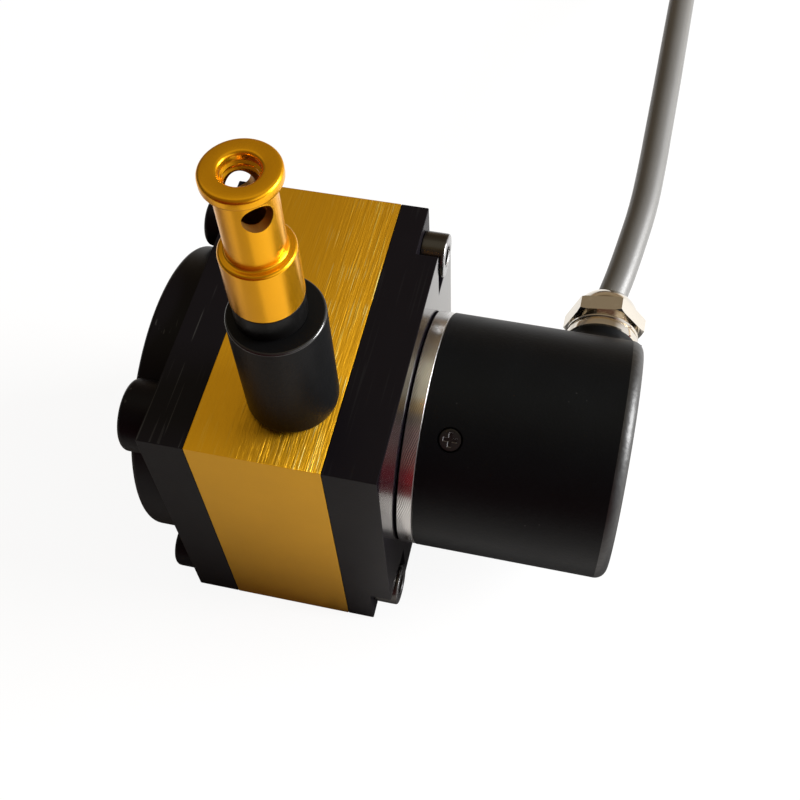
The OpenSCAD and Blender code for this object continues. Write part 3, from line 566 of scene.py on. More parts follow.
def black_anodised(base, name="Black anodised plate", rough=0.42):
    """Near black satin aluminium with hairline scratches on its top, most on the cover."""
    m, tree, shader, where = new_material(name, Specular_IOR_Level=0.12)
    skin = use_grain(tree, where, 2400.0, 90.0)
    scratches = use(tree, scratch_group(), Vector=where)
    toned = tones(tree, skin["Mottle"], base, 0.8, 1.2)
    on_cover = math_node(tree, "LESS_THAN", split(tree, where)[0], 0.0)
    amount = plus(tree, 0.15, times(tree, on_cover, 1.2))
    facing = times(tree, amount, math_node(tree, "GREATER_THAN", upward(tree), 0.97))
    marked = times(tree, scratches[0], facing)
    paint(tree, shader, blend_colours(tree, marked, toned, (0.035, 0.035, 0.035)))
    roughen(tree, shader, rough - 0.05, skin["Mottle"], 0.1)
    bump(tree, shader, skin["Grain"], 0.000008)
    return m


def black_polished(base):
    """The encoder plate's outer face, which is smooth enough to mirror the flange."""
    m, tree, shader, where = new_material("Black anodised, polished", Specular_IOR_Level=0.8)
    skin = use_grain(tree, where, 900.0, 60.0)
    paint(tree, shader, tones(tree, skin["Mottle"], base, 0.8, 1.3))
    roughen(tree, shader, 0.05, skin["Mottle"], 0.08)
    return m


def black_coating(name, base, grain_size, rough, speck_shade):
    """Matt black coating with fine grain, slow mottling and a few pale specks."""
    m, tree, shader, where = new_material(name, Specular_IOR_Level=0.14)
    skin = use_grain(tree, where, grain_size, 130.0)
    toned = tones(tree, skin["Mottle"], base, 0.75, 1.3)
    paint(tree, shader, blend_colours(tree, skin["Specks"], toned, speck_shade))
    roughen(tree, shader, rough - 0.06, skin["Mottle"], 0.12)
    bump(tree, shader, skin["Grain"], 0.00002)
    return m


def bare_metal(name, base, rough=0.25, lines=(200, 3000, 3000), depth=0.00001):
    """Machined metal with fine tool marks along the given directions."""
    m, tree, shader, where = new_material(name, Metallic=1.0, Roughness=rough)
    marks = use(tree, streak_group(), Vector=where, Scale=lines)
    skin = use_grain(tree, where, 2000.0, 150.0)
    paint(tree, shader, tones(tree, skin["Mottle"], base, 0.9, 1.05))
    roughen(tree, shader, rough - 0.04, marks["Bright lines"], 0.12)
    bump(tree, shader, marks["Height"], depth)
    return m


def lathe_metal(name, base):
    """Bright turned metal with slanting chatter lines round the shaft's axis."""
    line_pitch, slope, wander = 0.00034, 0.0062, 0.0007
    m, tree, shader, where = new_material(name, Metallic=1.0, Roughness=0.2)
    x, y, z = split(tree, where)
    angle = math_node(tree, "ARCTAN2", math_node(tree, "SUBTRACT", z, SHAFT_Z * MM), y)
    drift = times(tree, noise(tree, where, 260.0, 1.0), wander)
    across = plus(tree, x, plus(tree, times(tree, angle, slope), drift))
    wave = math_node(tree, "SINE", times(tree, across, 2 * math.pi / line_pitch))
    raised = plus(tree, times(tree, wave, 0.5), 0.5)
    patch = ramp(tree, noise(tree, where, 140.0, 1.0), [(0.4, 0.25), (0.6, 1.0)])
    lines = times(tree, raised, patch)
    paint(tree, shader, tones(tree, lines, base, 0.72, 1.3))
    roughen(tree, shader, 0.17, lines, 0.1)
    bump(tree, shader, lines, 0.000008)
    return m


def plain_skin(name, base, rough, grain_size=1500.0, depth=0.00001, **values):
    """A plain moulded, woven or printed skin with grain and slow tone changes."""
    m, tree, shader, where = new_material(name, **values)
    skin = use_grain(tree, where, grain_size, 100.0)
    paint(tree, shader, tones(tree, skin["Mottle"], base, 0.88, 1.1))
    roughen(tree, shader, rough - 0.04, skin["Grain"], 0.08)
    bump(tree, shader, skin["Grain"], depth)
    return m


def rope_steel():
    """Stranded steel wire: helical strands round the wire's own axis, with painted shade in the grooves
    between them.
    """
    lay_length, strands, middle = 0.0035, 7.0, (WIRE_X * MM, WIRE_Y * MM, 0)
    m, tree, shader, where = new_material("Wire rope", Metallic=1.0, Roughness=0.3)
    near = add(tree, "VectorMath", {"operation": "SUBTRACT"}, i0=where, i1=middle).outputs[0]
    x, y, z = split(tree, near)
    climb = times(tree, z, 2 * math.pi / lay_length)
    winding = plus(tree, math_node(tree, "ARCTAN2", y, x), climb)
    wave = math_node(tree, "SINE", times(tree, winding, strands))
    raised = plus(tree, times(tree, wave, 0.5), 0.5)
    # Painted shade: the grooves between strands are dark, the strand crowns light.
    paint(tree, shader, blend_colours(tree, raised, (0.16, 0.16, 0.16), (0.66, 0.66, 0.66)))
    bump(tree, shader, raised, 0.00006)
    return m


# ---- camera and cable ----


class DWE_OT_camera(bpy.types.Operator):
    """Adds the camera above the front of the encoder"""

    bl_idname = "dwe.camera"
    bl_label = "Camera"

    def execute(self, context):
        deselect()
        bpy.ops.object.camera_add()
        cam = named("camera")
        cam.data.lens, cam.data.sensor_width = 51.72, 36
        cam.data.clip_start, cam.data.clip_end = 0.01, 20
        look = Vector((-0.15259, 0.51436, -0.84389)).normalized()
        right = Vector((0.97396, 0.22314, -0.04010)).normalized()
        stand = Vector((42.937, -95.054, 187.751)) * MM
        turn = Matrix((right, right.cross(look), -look)).transposed().to_4x4()
        cam.matrix_world = Matrix.Translation(stand) @ turn
        context.scene.camera = cam
        return {"FINISHED"}


CABLE_ROUTE = [
    (46.3, 38, 25), (47.4, 46, 25), (48.3, 54, 25), (48.8, 64, 25), (49.05, 75, 25),
    (49.3, 87, 25), (49.5, 99, 24.7), (49.7, 110, 23.8), (49.9, 120, 22), (50, 130, 19.2),
    (50.1, 140, 15.6), (50.15, 150, 11.8), (50.2, 160, 8.4), (50.2, 170, 5.8), (50.2, 180, 4.2),
    (50.2, 190, 3.5), (50.2, 200, 3.4),
]
COIL_CENTRE = (19.6, 208)
LAYERS = (3.4, 8.6, 13.8)
COIL_END = 1627


def coil_point(angle, inner, outer):
    """Radius and height of the cable at an angle of its winding, in degrees."""
    low, middle, high = LAYERS
    steps = [
        (0, outer, low), (290, outer, low), (350, inner, low), (620, inner, low), (680, inner, middle),
        (955, inner, middle), (1015, outer, middle), (1265, outer, middle), (1315, outer, high),
        (1375, inner, high), (COIL_END, inner, high),
    ]
    for (a0, r0, z0), (a1, r1, z1) in zip(steps, steps[1:]):
        if angle <= a1:
            t = (angle - a0) / (a1 - a0)
            t = t * t * (3 - 2 * t)
            return r0 + (r1 - r0) * t, z0 + (z1 - z0) * t


def round_coil(angle, radius, height):
    """A point round the coil's middle, at an angle in degrees."""
    a = math.radians(angle)
    return COIL_CENTRE[0] + radius * math.cos(a), COIL_CENTRE[1] + radius * math.sin(a), height


def curve_piece(name, points, radius, resolution, sides):
    """A round tube along one smooth open curve."""
    data = bpy.data.curves.new(name, "CURVE")
    data.dimensions, data.bevel_depth, data.bevel_resolution = "3D", radius * MM, sides
    data.resolution_u, data.use_fill_caps = resolution, True
    spline = data.splines.new("BEZIER")
    spline.bezier_points.add(len(points) - 1)
    for p, at in zip(spline.bezier_points, points):
        p.co = Vector(at) * MM
        p.handle_left_type = p.handle_right_type = "AUTO"
    obj = bpy.data.objects.new(name, data)
    bpy.context.scene.collection.objects.link(obj)
    return obj


class DWE_OT_cable(bpy.types.Operator):
    """Lays the cable from the gland to its coil, with its ties and bare cores"""

    bl_idname = "dwe.cable"
    bl_label = "Cable and coil"

    core_colours = {
        "red": (0.35, 0.02, 0.02),
        "black": (0.01, 0.01, 0.012),
        "white": (0.72, 0.72, 0.70),
        "green": (0.02, 0.22, 0.05),
        "yellow": (0.65, 0.45, 0.02),
        "blue": (0.03, 0.08, 0.35),
    }

    def execute(self, context):
        s = context.scene.dwe_cable
        radius, inner, outer = s.radius / MM, s.coil_inner / MM, s.coil_outer / MM
        points = [(GLAND_X, NUT_HIGH[1] - 7, SHAFT_Z), (GLAND_X + 0.1, NUT_HIGH[1] - 2, SHAFT_Z)]
        points += CABLE_ROUTE
        for angle in (*range(0, COIL_END, 18), COIL_END):
            points.append(round_coil(angle, *coil_point(angle, inner, outer)))
        cable = curve_piece("cable", points, radius, 5, 6)
        grey = plain_skin("Grey sheath", tuple(s.sheath), 0.42, 2200.0, 0.00002, Specular_IOR_Level=1.0)
        cable.data.materials.append(grey)
        cores = self.add_cores(s)
        ties = self.add_ties(radius, inner, outer)
        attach(cable, "housing")
        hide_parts("cable_run", "cable_coil")
        return {"FINISHED"}

    def add_cores(self, s):
        """The bare cores: stranded leads in coloured sheaths that follow the last turn."""
        lay_r, core_r, strands_r = 1.1, 0.6, 0.35
        made = []
        tin = bare_metal("Tinned strands", (0.72, 0.72, 0.70), 0.35, (4000, 4000, 4000))
        for k, name in enumerate(list(self.core_colours)[: s.cores]):
            points = []
            for step in range(8):
                turn = math.radians(72 * k + 8 * step)
                r, z = s.coil_inner / MM + lay_r * math.cos(turn), LAYERS[2] + lay_r * math.sin(turn)
                points.append(round_coil(COIL_END - 2 + step * 7, r, z))
            core = curve_piece("core_" + name, points[:-1], core_r, 5, 3)
            core.data.materials.append(plain_skin("Core sheath " + name, self.core_colours[name], 0.35))
            bare = curve_piece("strands_" + name, points[-2:], strands_r, 3, 2)
            bare.data.materials.append(tin)
            for piece in (core, bare):
                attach(piece, "housing")
                made.append(piece)
        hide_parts("lead_ends")
        return made

    def add_ties(self, radius, inner, outer):
        """Two bands round the coil, each with a small locking head."""
        wide, thick, corner = 3, 0.75, 2.2
        made = []
        nylon = plain_skin("Tie nylon", (0.02, 0.02, 0.02), 0.4)
        low, mid, high = LAYERS[0] - radius, LAYERS[1] + radius, LAYERS[2] + radius
        r0, r1, rm = inner - radius, outer + radius, (inner + outer) / 2
        outline = [(r0, low), (r1, low), (r1, mid + 0.3), (rm + 0.3, high), (r0, high), (r0, low)]
        for name, angle in (("tie_1", 20), ("tie_2", 140)):
            band = chain(name, outline, y=-wide / 2)
            bpy.ops.mesh.remove_doubles(threshold=1e-7)
            bpy.ops.mesh.select_all(action="SELECT")
            bpy.ops.mesh.bevel(offset=corner * MM, segments=5, affect="VERTICES")
            bpy.ops.mesh.select_all(action="SELECT")
            bpy.ops.mesh.extrude_region_move(TRANSFORM_OT_translate={"value": (0, wide * MM, 0)})
            bpy.ops.mesh.select_all(action="SELECT")
            bpy.ops.mesh.normals_make_consistent(inside=False)
            bpy.ops.object.mode_set(mode="OBJECT")
            wall = band.modifiers.new("Band", "SOLIDIFY")
            wall.thickness, wall.offset = thick * MM, 1
            apply_modifiers(band)
            head = block("tie_head", (r1 + 0.4, -2.2, LAYERS[0] + 1), (r1 + 2.6, 2.2, LAYERS[0] + 5))
            soften(head, 0.4)
            band = join(name, [band, head])
            middle = Matrix.Translation(Vector((*COIL_CENTRE, 0)) * MM)
            settle(band, middle @ Matrix.Rotation(math.radians(angle), 4, "Z"))
            finish_piece(band, "housing", [nylon])
            made.append(band)
        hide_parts("coil_ties")
        return made


# ---- housing, cover and plate ----


class DWE_OT_housing(bpy.types.Operator):
    """Makes the gold block with its bores, tapped holes and softened edges"""

    bl_idname = "dwe.housing"
    bl_label = "Drum housing"

    def execute(self, context):
        s = context.scene.dwe_housing
        body = block("drum_block", (HOUSE_X0, HOUSE_Y0, HOUSE_Z0), (HOUSE_X1, HOUSE_Y1, HOUSE_Z1))
        bpy.ops.object.mode_set(mode="EDIT")
        bm = bmesh.from_edit_mesh(body.data)
        for edge in bm.edges:
            middle = (edge.verts[0].co + edge.verts[1].co) / 2 / MM
            edge.select_set(abs(middle.x - HOUSE_X1) < 0.1 and abs(middle.y - HOUSE_Y1) < 0.1)
        bmesh.update_edit_mesh(body.data)
        bpy.ops.mesh.bevel(offset=0.9 * MM, segments=6)
        bpy.ops.object.mode_set(mode="OBJECT")
        soften(body, s.edge / MM * 0.7)
        start, through = HOUSE_X0 - 1, HOUSE_X1 - HOUSE_X0 + 2
        carrier_seat_r, spigot_hole_r, wire_way_r = 21.6, 3.52, 2.5
        tools = [
            bar(s.chamber_radius / MM, (start, 0, SHAFT_Z), through, "X", 128),
            bar(carrier_seat_r, (start, 0, SHAFT_Z), 2.8, "X", 128),
            bar(spigot_hole_r, (WIRE_X, WIRE_Y, HOUSE_Z1 - 5), 6),
            bar(wire_way_r, (WIRE_X, WIRE_Y, SHAFT_Z), 21),
        ]
        for key, (y, z) in CORNERS.items():
            radius = SCREW_HOLE_R if key in NOTCHED else PIN_HOLE_R
            tools.append(bar(radius, (start, y, z), through, "X", 48))
        core_r, mouth_r = 1.65, 2.4
        for y in (-13, 13):
            tools.append(bar(core_r, (0, y, -1), 8, sides=48))
            tools.append(bar(mouth_r, (0, y, -0.3), 0.75, sides=48, top_radius=core_r))
        combine(body, tools)
        finish_piece(body, "housing", [housing_gold(tuple(s.gold))], ["drum_housing"])
        return {"FINISHED"}


class DWE_OT_cover(bpy.types.Operator):
    """Makes the black spring cover with its round boss and corner bosses"""

    bl_idname = "dwe.cover"
    bl_label = "Spring cover"

    def execute(self, context):
        s = context.scene.dwe_housing
        face = HOUSE_X0 - s.cover_plate / MM
        cover = block("cover", (face, HOUSE_Y0, HOUSE_Z0), (HOUSE_X0, HOUSE_Y1, HOUSE_Z1))
        soften(cover, s.edge / MM)

        def boss(radius, tall, y, z, steps=48):
            edge = 0.9
            profile = [(0, -1), (radius, -1), (radius, tall - edge)]
            profile += arc((radius - edge, tall - edge), edge, 0, 90)[1:] + [(0, tall)]
            return place(turned("boss", profile, steps), (face, y, z), "-X")

        bosses = [boss(s.boss_radius / MM, face - COVER_X0, 0, SHAFT_Z, 128)]
        bosses += [boss(4.1, 4.1, *CORNERS[k]) for k in ("rear_top", "front_bottom", "rear_bottom")]
        bosses.append(boss(5.5, 4.5, HOUSE_Y0 + 7, HOUSE_Z1 - 5.5))
        combine(cover, bosses, "UNION")
        end_wall, spring_chamber_r = 2, 20.8
        start = (COVER_X0 + end_wall, 0, SHAFT_Z)
        tools = [bar(spring_chamber_r, start, HOUSE_X0 - COVER_X0, "X", 128)]
        for key, (y, z) in CORNERS.items():
            x = face - 2.9 if key in NOTCHED else face + 1.7
            tools.append(bar(PIN_HOLE_R, (x, y, z), 12, "X", 48))
        combine(cover, tools)
        finish_piece(cover, "housing", [black_anodised(tuple(s.black))], ["spring_cover"])
        return {"FINISHED"}


class DWE_OT_plate(bpy.types.Operator):
    """Makes the black encoder plate with its two notches and screw seats"""

    bl_idname = "dwe.plate"
    bl_label = "Encoder plate"

    def execute(self, context):
        s = context.scene.dwe_housing
        notch, seat = s.notch / MM, HOUSE_X1 + s.thin_plate / MM
        plate = block("plate", (HOUSE_X1, HOUSE_Y0, HOUSE_Z0), (PLATE_X1, HOUSE_Y1, HOUSE_Z1))
        past = 30
        cuts = [
            block("cut", (seat, HOUSE_Y1 - notch, HOUSE_Z1 - notch), (past, HOUSE_Y1 + 1, HOUSE_Z1 + 1)),
            block("cut", (seat, HOUSE_Y0 - 1, HOUSE_Z0 - 1), (past, HOUSE_Y0 + notch, HOUSE_Z0 + notch)),
        ]
        combine(plate, cuts)
        soften(plate, s.edge / MM)
        start, thick = HOUSE_X1 - 1, PLATE_X1 - HOUSE_X1
        spigot_hole_r, head_seat_r, shank_hole_r = 10.02, 2.8, 1.7
        tools = [bar(spigot_hole_r, (start, 0, SHAFT_Z), thick + 2, "X", 96)]
        for key, (y, z) in CORNERS.items():
            radius, deep = (SCREW_HOLE_R, thick + 2) if key in NOTCHED else (PIN_HOLE_R, 4.9)
            tools.append(bar(radius, (start, y, z), deep, "X", 48))
        for y, z in FLANGE_SCREWS:
            tools.append(bar(head_seat_r, (start, y, z), 4.1, "X", 48))
            tools.append(bar(shank_hole_r, (HOUSE_X1, y, z), thick + 1, "X", 48))
        combine(plate, tools)
        black = tuple(s.black)
        blacks = [black_anodised(black, "Black anodised end plate", 0.4), black_polished(black)]
        finish_piece(plate, "housing", blacks, ["encoder_plate"])
        paint_faces(plate, lambda c, n: n.x > 0.9 and c.x > PLATE_X1 - 0.3, 1)
        return {"FINISHED"}


class DWE_OT_corner_screws(bpy.types.Operator):
    """Makes the two socket cap screws of the notched corners"""

    bl_idname = "dwe.corner_screws"
    bl_label = "Corner screws"

    def execute(self, context):
        s = context.scene.dwe_housing
        at = HOUSE_X1 + s.thin_plate / MM
        long = at - (HOUSE_X0 - s.cover_plate / MM - 2.6)
        made = []
        for key in NOTCHED:
            profile = [(0, -long), (1.7, -long), (2, -long + 0.4), (2, 0)]
            profile += [(3.35, 0), (3.5, 0.15), (3.5, 3.45)]
            profile += arc((3.1, 3.6), 0.4, 0, 90, 4)[1:] + [(2.05, 4), (1.85, 3.85), (0, 3.85)]
            screw = turned("corner_screw", profile, 48)
            combine(screw, [bar(1.5 / math.cos(math.pi / 6), (0, 0, 1.9), 4, sides=6)])
            made.append(place(screw, (at, *CORNERS[key]), "X", roll=math.radians(11)))
        screws = join("cap_screws", made)
        black = bare_metal("Black steel", (0.09, 0.085, 0.08), 0.3, (900, 2500, 2500))
        bright = bare_metal("Worn screw end", (0.42, 0.42, 0.43), 0.28, (900, 2500, 2500))
        finish_piece(screws, "housing", [black, bright], ["corner_screws"])
        paint_faces(screws, lambda c, n: n.x > 0.6 and c.x > PLATE_X1 - 0.4, 1)
        return {"FINISHED"}


# ---- wire outlet, wire and fitting ----


class DWE_OT_outlet(bpy.types.Operator):
    """Makes the outlet sleeve and the stop bumper above it"""

    bl_idname = "dwe.outlet"
    bl_label = "Outlet sleeve and bumper"

    def execute(self, context):
        s = context.scene.dwe_outlet
        r, base, top = s.sleeve_radius / MM, HOUSE_Z1, SLEEVE_Z1
        profile = [(0, base), (r - 1.3, base)] + arc((r - 1.3, base + 1.3), 1.3, -90, 0)[1:]
        profile += [(r, top - 0.4)] + arc((r - 0.4, top - 0.4), 0.4, 0, 90, 5)[1:] + [(0, top)]
        sleeve = place(turned("sleeve", profile, 96), (SLEEVE_X, WIRE_Y, 0))
        profile = [(0, base - 5), (3.3, base - 5), (3.5, base - 4.8), (3.5, base + 2), (0, base + 2)]
        combine(sleeve, [place(turned("spigot", profile, 64), (WIRE_X, WIRE_Y, 0))], "UNION")
        profile = [(0, base - 6), (1.5, base - 6), (1.5, top - 12.05), (2.5, top - 12.05), (2.5, top - 0.15)]
        profile += [(2.75, top + 0.1), (2.75, top + 1), (0, top + 1)]
        combine(sleeve, [place(turned("bore", profile, 64), (WIRE_X, WIRE_Y, 0))])
        coat = black_coating("Sleeve coating", (0.0036, 0.0038, 0.0042), 1500.0, 0.45, (0.08, 0.08, 0.08))
        # The rim's rounding is painted lighter and glossier than the coat: partly a rubbed edge, partly a
        # painted highlight of the window light.
        rubbed_and_highlit = plain_skin("Rubbed rim with painted highlight", (0.02, 0.02, 0.02), 0.2, Specular_IOR_Level=1.0, Metallic=0.4)
        finish_piece(sleeve, "housing", [coat, rubbed_and_highlit], ["outlet_sleeve"])
        rim = 0.42

        def on_rim(c, n):
            out = math.hypot(c.x - SLEEVE_X, c.y - WIRE_Y)
            return c.z > top - rim and n.z < 0.97 and out > r - rim

        paint_faces(sleeve, on_rim, 1)
        self.add_bumper(s.bumper_radius / MM, BUMPER_Z0, BUMPER_Z1)
        return {"FINISHED"}

    def add_bumper(self, r, low, high):
        profile = [(0.6, low)] + arc((r - 0.35, low + 0.35), 0.35, -90, 0, 4)
        profile += arc((r - 0.2, high - 0.2), 0.2, 0, 90, 3)
        profile += [(1.02, high), (1.02, low + 1.5), (0.6, low + 1.5)]
        bumper = place(turned("bumper", profile, 96), (WIRE_X, WIRE_Y, 0))
        rubber = plain_skin("Black bumper", (0.003, 0.003, 0.003), 0.3, 2500.0, Specular_IOR_Level=0.16)
        finish_piece(bumper, "wire_end", [rubber], ["stop_bumper"])


class DWE_OT_wire(bpy.types.Operator):
    """Makes the measuring wire with its crimped ferrule"""

    bl_idname = "dwe.wire"
    bl_label = "Wire and ferrule"

    def execute(self, context):
        s = context.scene.dwe_outlet
        low, high = box_mm("wire_lead")
        r, count = s.wire_radius / MM, 60
        side = [(r, low[2] + (high[2] - low[2]) * k / count) for k in range(count + 1)]
        wire = place(turned("wire", [(0, low[2]), *side, (0, high[2])], 12), (WIRE_X, WIRE_Y, 0))
        take(wire)
        bpy.ops.object.shade_smooth_by_angle(angle=math.radians(60))
        wire.data.materials.append(rope_steel())
        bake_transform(wire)
        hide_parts("wire_lead")
        low, high = box_mm("wire_ferrule")
        z0, z1, z2 = low[2], high[2] - 3, high[2]
        profile = [(0.32, z0), (0.85, z0), (1, z0 + 0.15), (1, z1), (1.35, z1), (1.5, z1 + 0.15)]
        profile += [(1.5, z2 - 0.3)] + arc((1.2, z2 - 0.3), 0.3, 0, 90, 3)[1:] + [(0.32, z2)]
        ferrule = place(turned("ferrule", profile, 48), (WIRE_X, WIRE_Y, 0))
        steel = bare_metal("Crimped steel", (0.5, 0.5, 0.5))
        finish_piece(ferrule, "wire_end", [steel], ["wire_ferrule"])
        return {"FINISHED"}


class DWE_OT_fitting(bpy.types.Operator):
    """Makes the gold end fitting with its threaded mouth and cross hole"""

    bl_idname = "dwe.fitting"
    bl_label = "End fitting"

    def execute(self, context):
        s = context.scene.dwe_outlet
        body, neck, head = s.body_radius / MM, s.neck_radius / MM, s.head_radius / MM
        tall = FITTING_Z1 - FITTING_Z0
        root = 2.45
        profile = [(1.15, 0), (body - 0.15, 0), (body, 0.15)]
        profile += arc((body - 0.5, 8.35), 0.5, 0, 90, 5) + [(neck + 0.42, 8.85)]
        profile += arc((neck + 0.42, 9.27), 0.42, 270, 180, 5)[1:]
        profile += arc((neck + 0.3, tall - 2.35), 0.3, 180, 120, 3)
        profile += arc((head - 0.35, tall - 1.3), 0.35, -55, 0, 4)
        profile += arc((head - 0.55, tall - 0.55), 0.55, 0, 90, 6)
        profile += arc((2.95, tall - 0.5), 0.5, 90, 180, 6) + [(root, tall - 0.6)]
        profile += [(root, tall - 7.8), (2.1, tall - 8.1), (2.1, tall - 14), (1.6, tall - 14)]
        profile += [(1.6, 3), (1.15, 3)]
        fitting = place(turned("fitting", profile, 128), (WIRE_X, WIRE_Y, FITTING_Z0))
        cross_r, cross_middle = 1.95, Vector((WIRE_X, WIRE_Y, FITTING_Z1 - 4.7))
        cross = place(bar(cross_r, (0, 0, -8), 16, sides=64), (0, 0, 0), "X")
        settle(cross, Matrix.Translation(cross_middle * MM) @ Matrix.Rotation(s.cross_turn, 4, "Z"))
        combine(fitting, [cross])
        thread = self.thread(root, 2.12, FITTING_Z1 - 2.9, FITTING_Z1 - 0.5)
        gold = fitting_gold(tuple(s.gloss_gold))
        # Painted shade: the bores and the mouth get a darker, browner gold than the outside.
        shaded_bore_gold = fitting_gold((0.42, 0.20, 0.04), "Gold in the bores, painted shade", 0.4)
        whole = join("fitting", [fitting, thread])
        finish_piece(whole, "fitting", [gold, shaded_bore_gold], ["end_fitting"], smooth=28)
        across = Vector((math.cos(s.cross_turn), math.sin(s.cross_turn), 0))

        def in_bore(c, n):
            out = c - cross_middle
            aside = (out - across * out.dot(across)).length
            return aside < cross_r + 0.02 or (out.z < 2.2 and math.hypot(out.x, out.y) < 2.5)

        # The faces in the cross hole and the mouth take the darker gold of painted shade.
        paint_faces(whole, in_bore, 1)
        return {"FINISHED"}

    def thread(self, root, crest, low, high):
        """A helical ridge inside the mouth, with a pitch of 0.8 mm."""
        pitch = 0.8
        deselect()
        bpy.ops.mesh.primitive_plane_add(size=MM, location=(0, 0, 0))
        ridge = named("thread")
        bpy.ops.object.mode_set(mode="EDIT")
        bpy.ops.mesh.select_all(action="SELECT")
        bpy.ops.mesh.delete(type="ONLY_FACE")
        bm = bmesh.from_edit_mesh(ridge.data)
        corners = [(root + 0.1, -0.36), (root + 0.1, 0.36), (crest, 0.05), (crest, -0.05)]
        for vert, (r, z) in zip(self.ring(bm), corners):
            vert.co = Vector((r, 0, z)) * MM
        bmesh.update_edit_mesh(ridge.data)
        bpy.ops.object.mode_set(mode="OBJECT")
        turns = (high - low - pitch) / pitch
        m = ridge.modifiers.new("Helix", "SCREW")
        m.axis, m.screw_offset, m.iterations = "Z", turns * pitch * MM, 1
        m.angle, m.steps, m.render_steps = turns * 2 * math.pi, int(turns * 48), int(turns * 48)
        apply_modifiers(ridge)
        bpy.ops.object.mode_set(mode="EDIT")
        bpy.ops.mesh.select_all(action="DESELECT")
        bpy.ops.mesh.select_non_manifold()
        bpy.ops.mesh.edge_face_add()
        bpy.ops.mesh.select_all(action="SELECT")
        bpy.ops.mesh.normals_make_consistent(inside=False)
        bpy.ops.object.mode_set(mode="OBJECT")
        return place(ridge, (WIRE_X, WIRE_Y, low + pitch / 2))

    def ring(self, bm):
        """The corners of the only loop, in order."""
        bm.verts.ensure_lookup_table()
        vert, order = bm.verts[0], []
        while vert not in order:
            order.append(vert)
            others = [e.other_vert(vert) for e in vert.link_edges]
            vert = next((v for v in others if v not in order), vert)
        return order


# ---- encoder ----


def radial(obj, angle):
    """Puts a piece drawn along Z where a can screw sits, pointing outwards."""
    spot = Matrix.Translation(Vector((CAN_SCREW_X, 0, SHAFT_Z)) * MM)
    return settle(obj, spot @ Matrix.Rotation(math.radians(angle), 4, "X"))


class DWE_OT_flange(bpy.types.Operator):
    """Makes the encoder's bare aluminium flange with its bearing tube"""

    bl_idname = "dwe.flange"
    bl_label = "Encoder flange"

    def execute(self, context):
        s = context.scene.dwe_encoder
        ring, x0, x1 = s.ring_radius / MM, PLATE_X1, CAN_X0
        seat, inner = ring - 1.7, (s.can_radius - s.can_wall) / MM - 0.02
        bearing_r, way_r, spigot_r, pocket_r, tube_r = 6.52, 5.3, 10, 13.2, 8.5
        tube_x1 = x1 + 10.8
        profile = [(bearing_r, FLANGE_X0), (spigot_r - 0.2, FLANGE_X0), (spigot_r, FLANGE_X0 + 0.2)]
        profile += [(spigot_r, x0), (seat, x0), (seat, x0 + 0.25), (ring - 0.12, x0 + 0.25)]
        profile += [(ring, x0 + 0.37), (ring, x1 - 0.15), (ring - 0.15, x1)]
        profile += [(inner, x1), (inner, x1 + 7.3), (pocket_r, x1 + 7.3), (pocket_r, x1 + 1)]
        profile += [(tube_r, x1 + 1), (tube_r, tube_x1), (bearing_r, tube_x1), (bearing_r, x1 + 5.8)]
        profile += [(way_r, x1 + 5.8), (way_r, FLANGE_X0 + 5), (bearing_r, FLANGE_X0 + 5)]
        flange = place(turned("flange", profile, 160), (0, 0, SHAFT_Z), "X")
        tools = [bar(1.52, (x0 - 1, y, z), 9.6, "X", 32) for y, z in FLANGE_SCREWS]
        for angle in CAN_SCREW_ANGLES:
            tools.append(radial(bar(1.22, (0, 0, s.can_radius / MM - 4.3), 6, sides=32), angle))
        combine(flange, tools)
        metal = lathe_metal("Turned aluminium", (0.76, 0.75, 0.735))
        dark = plain_skin("Shaded seat", (0.01, 0.01, 0.01), 0.8, Specular_IOR_Level=0.1)
        edge = bare_metal("Broken flange edge", (0.7, 0.69, 0.68), 0.34)
        finish_piece(flange, "housing", [metal, dark, edge], ["encoder_flange"])

        def out(c):
            return math.hypot(c.y, c.z - SHAFT_Z)

        paint_faces(flange, lambda c, n: 0.3 < abs(n.x) < 0.9 and out(c) > ring - 0.2, 2)
        paint_faces(flange, lambda c, n: x0 - 0.1 < c.x < x0 + 0.3 and n.x < 0.5 and out(c) > 12, 1)
        return {"FINISHED"}


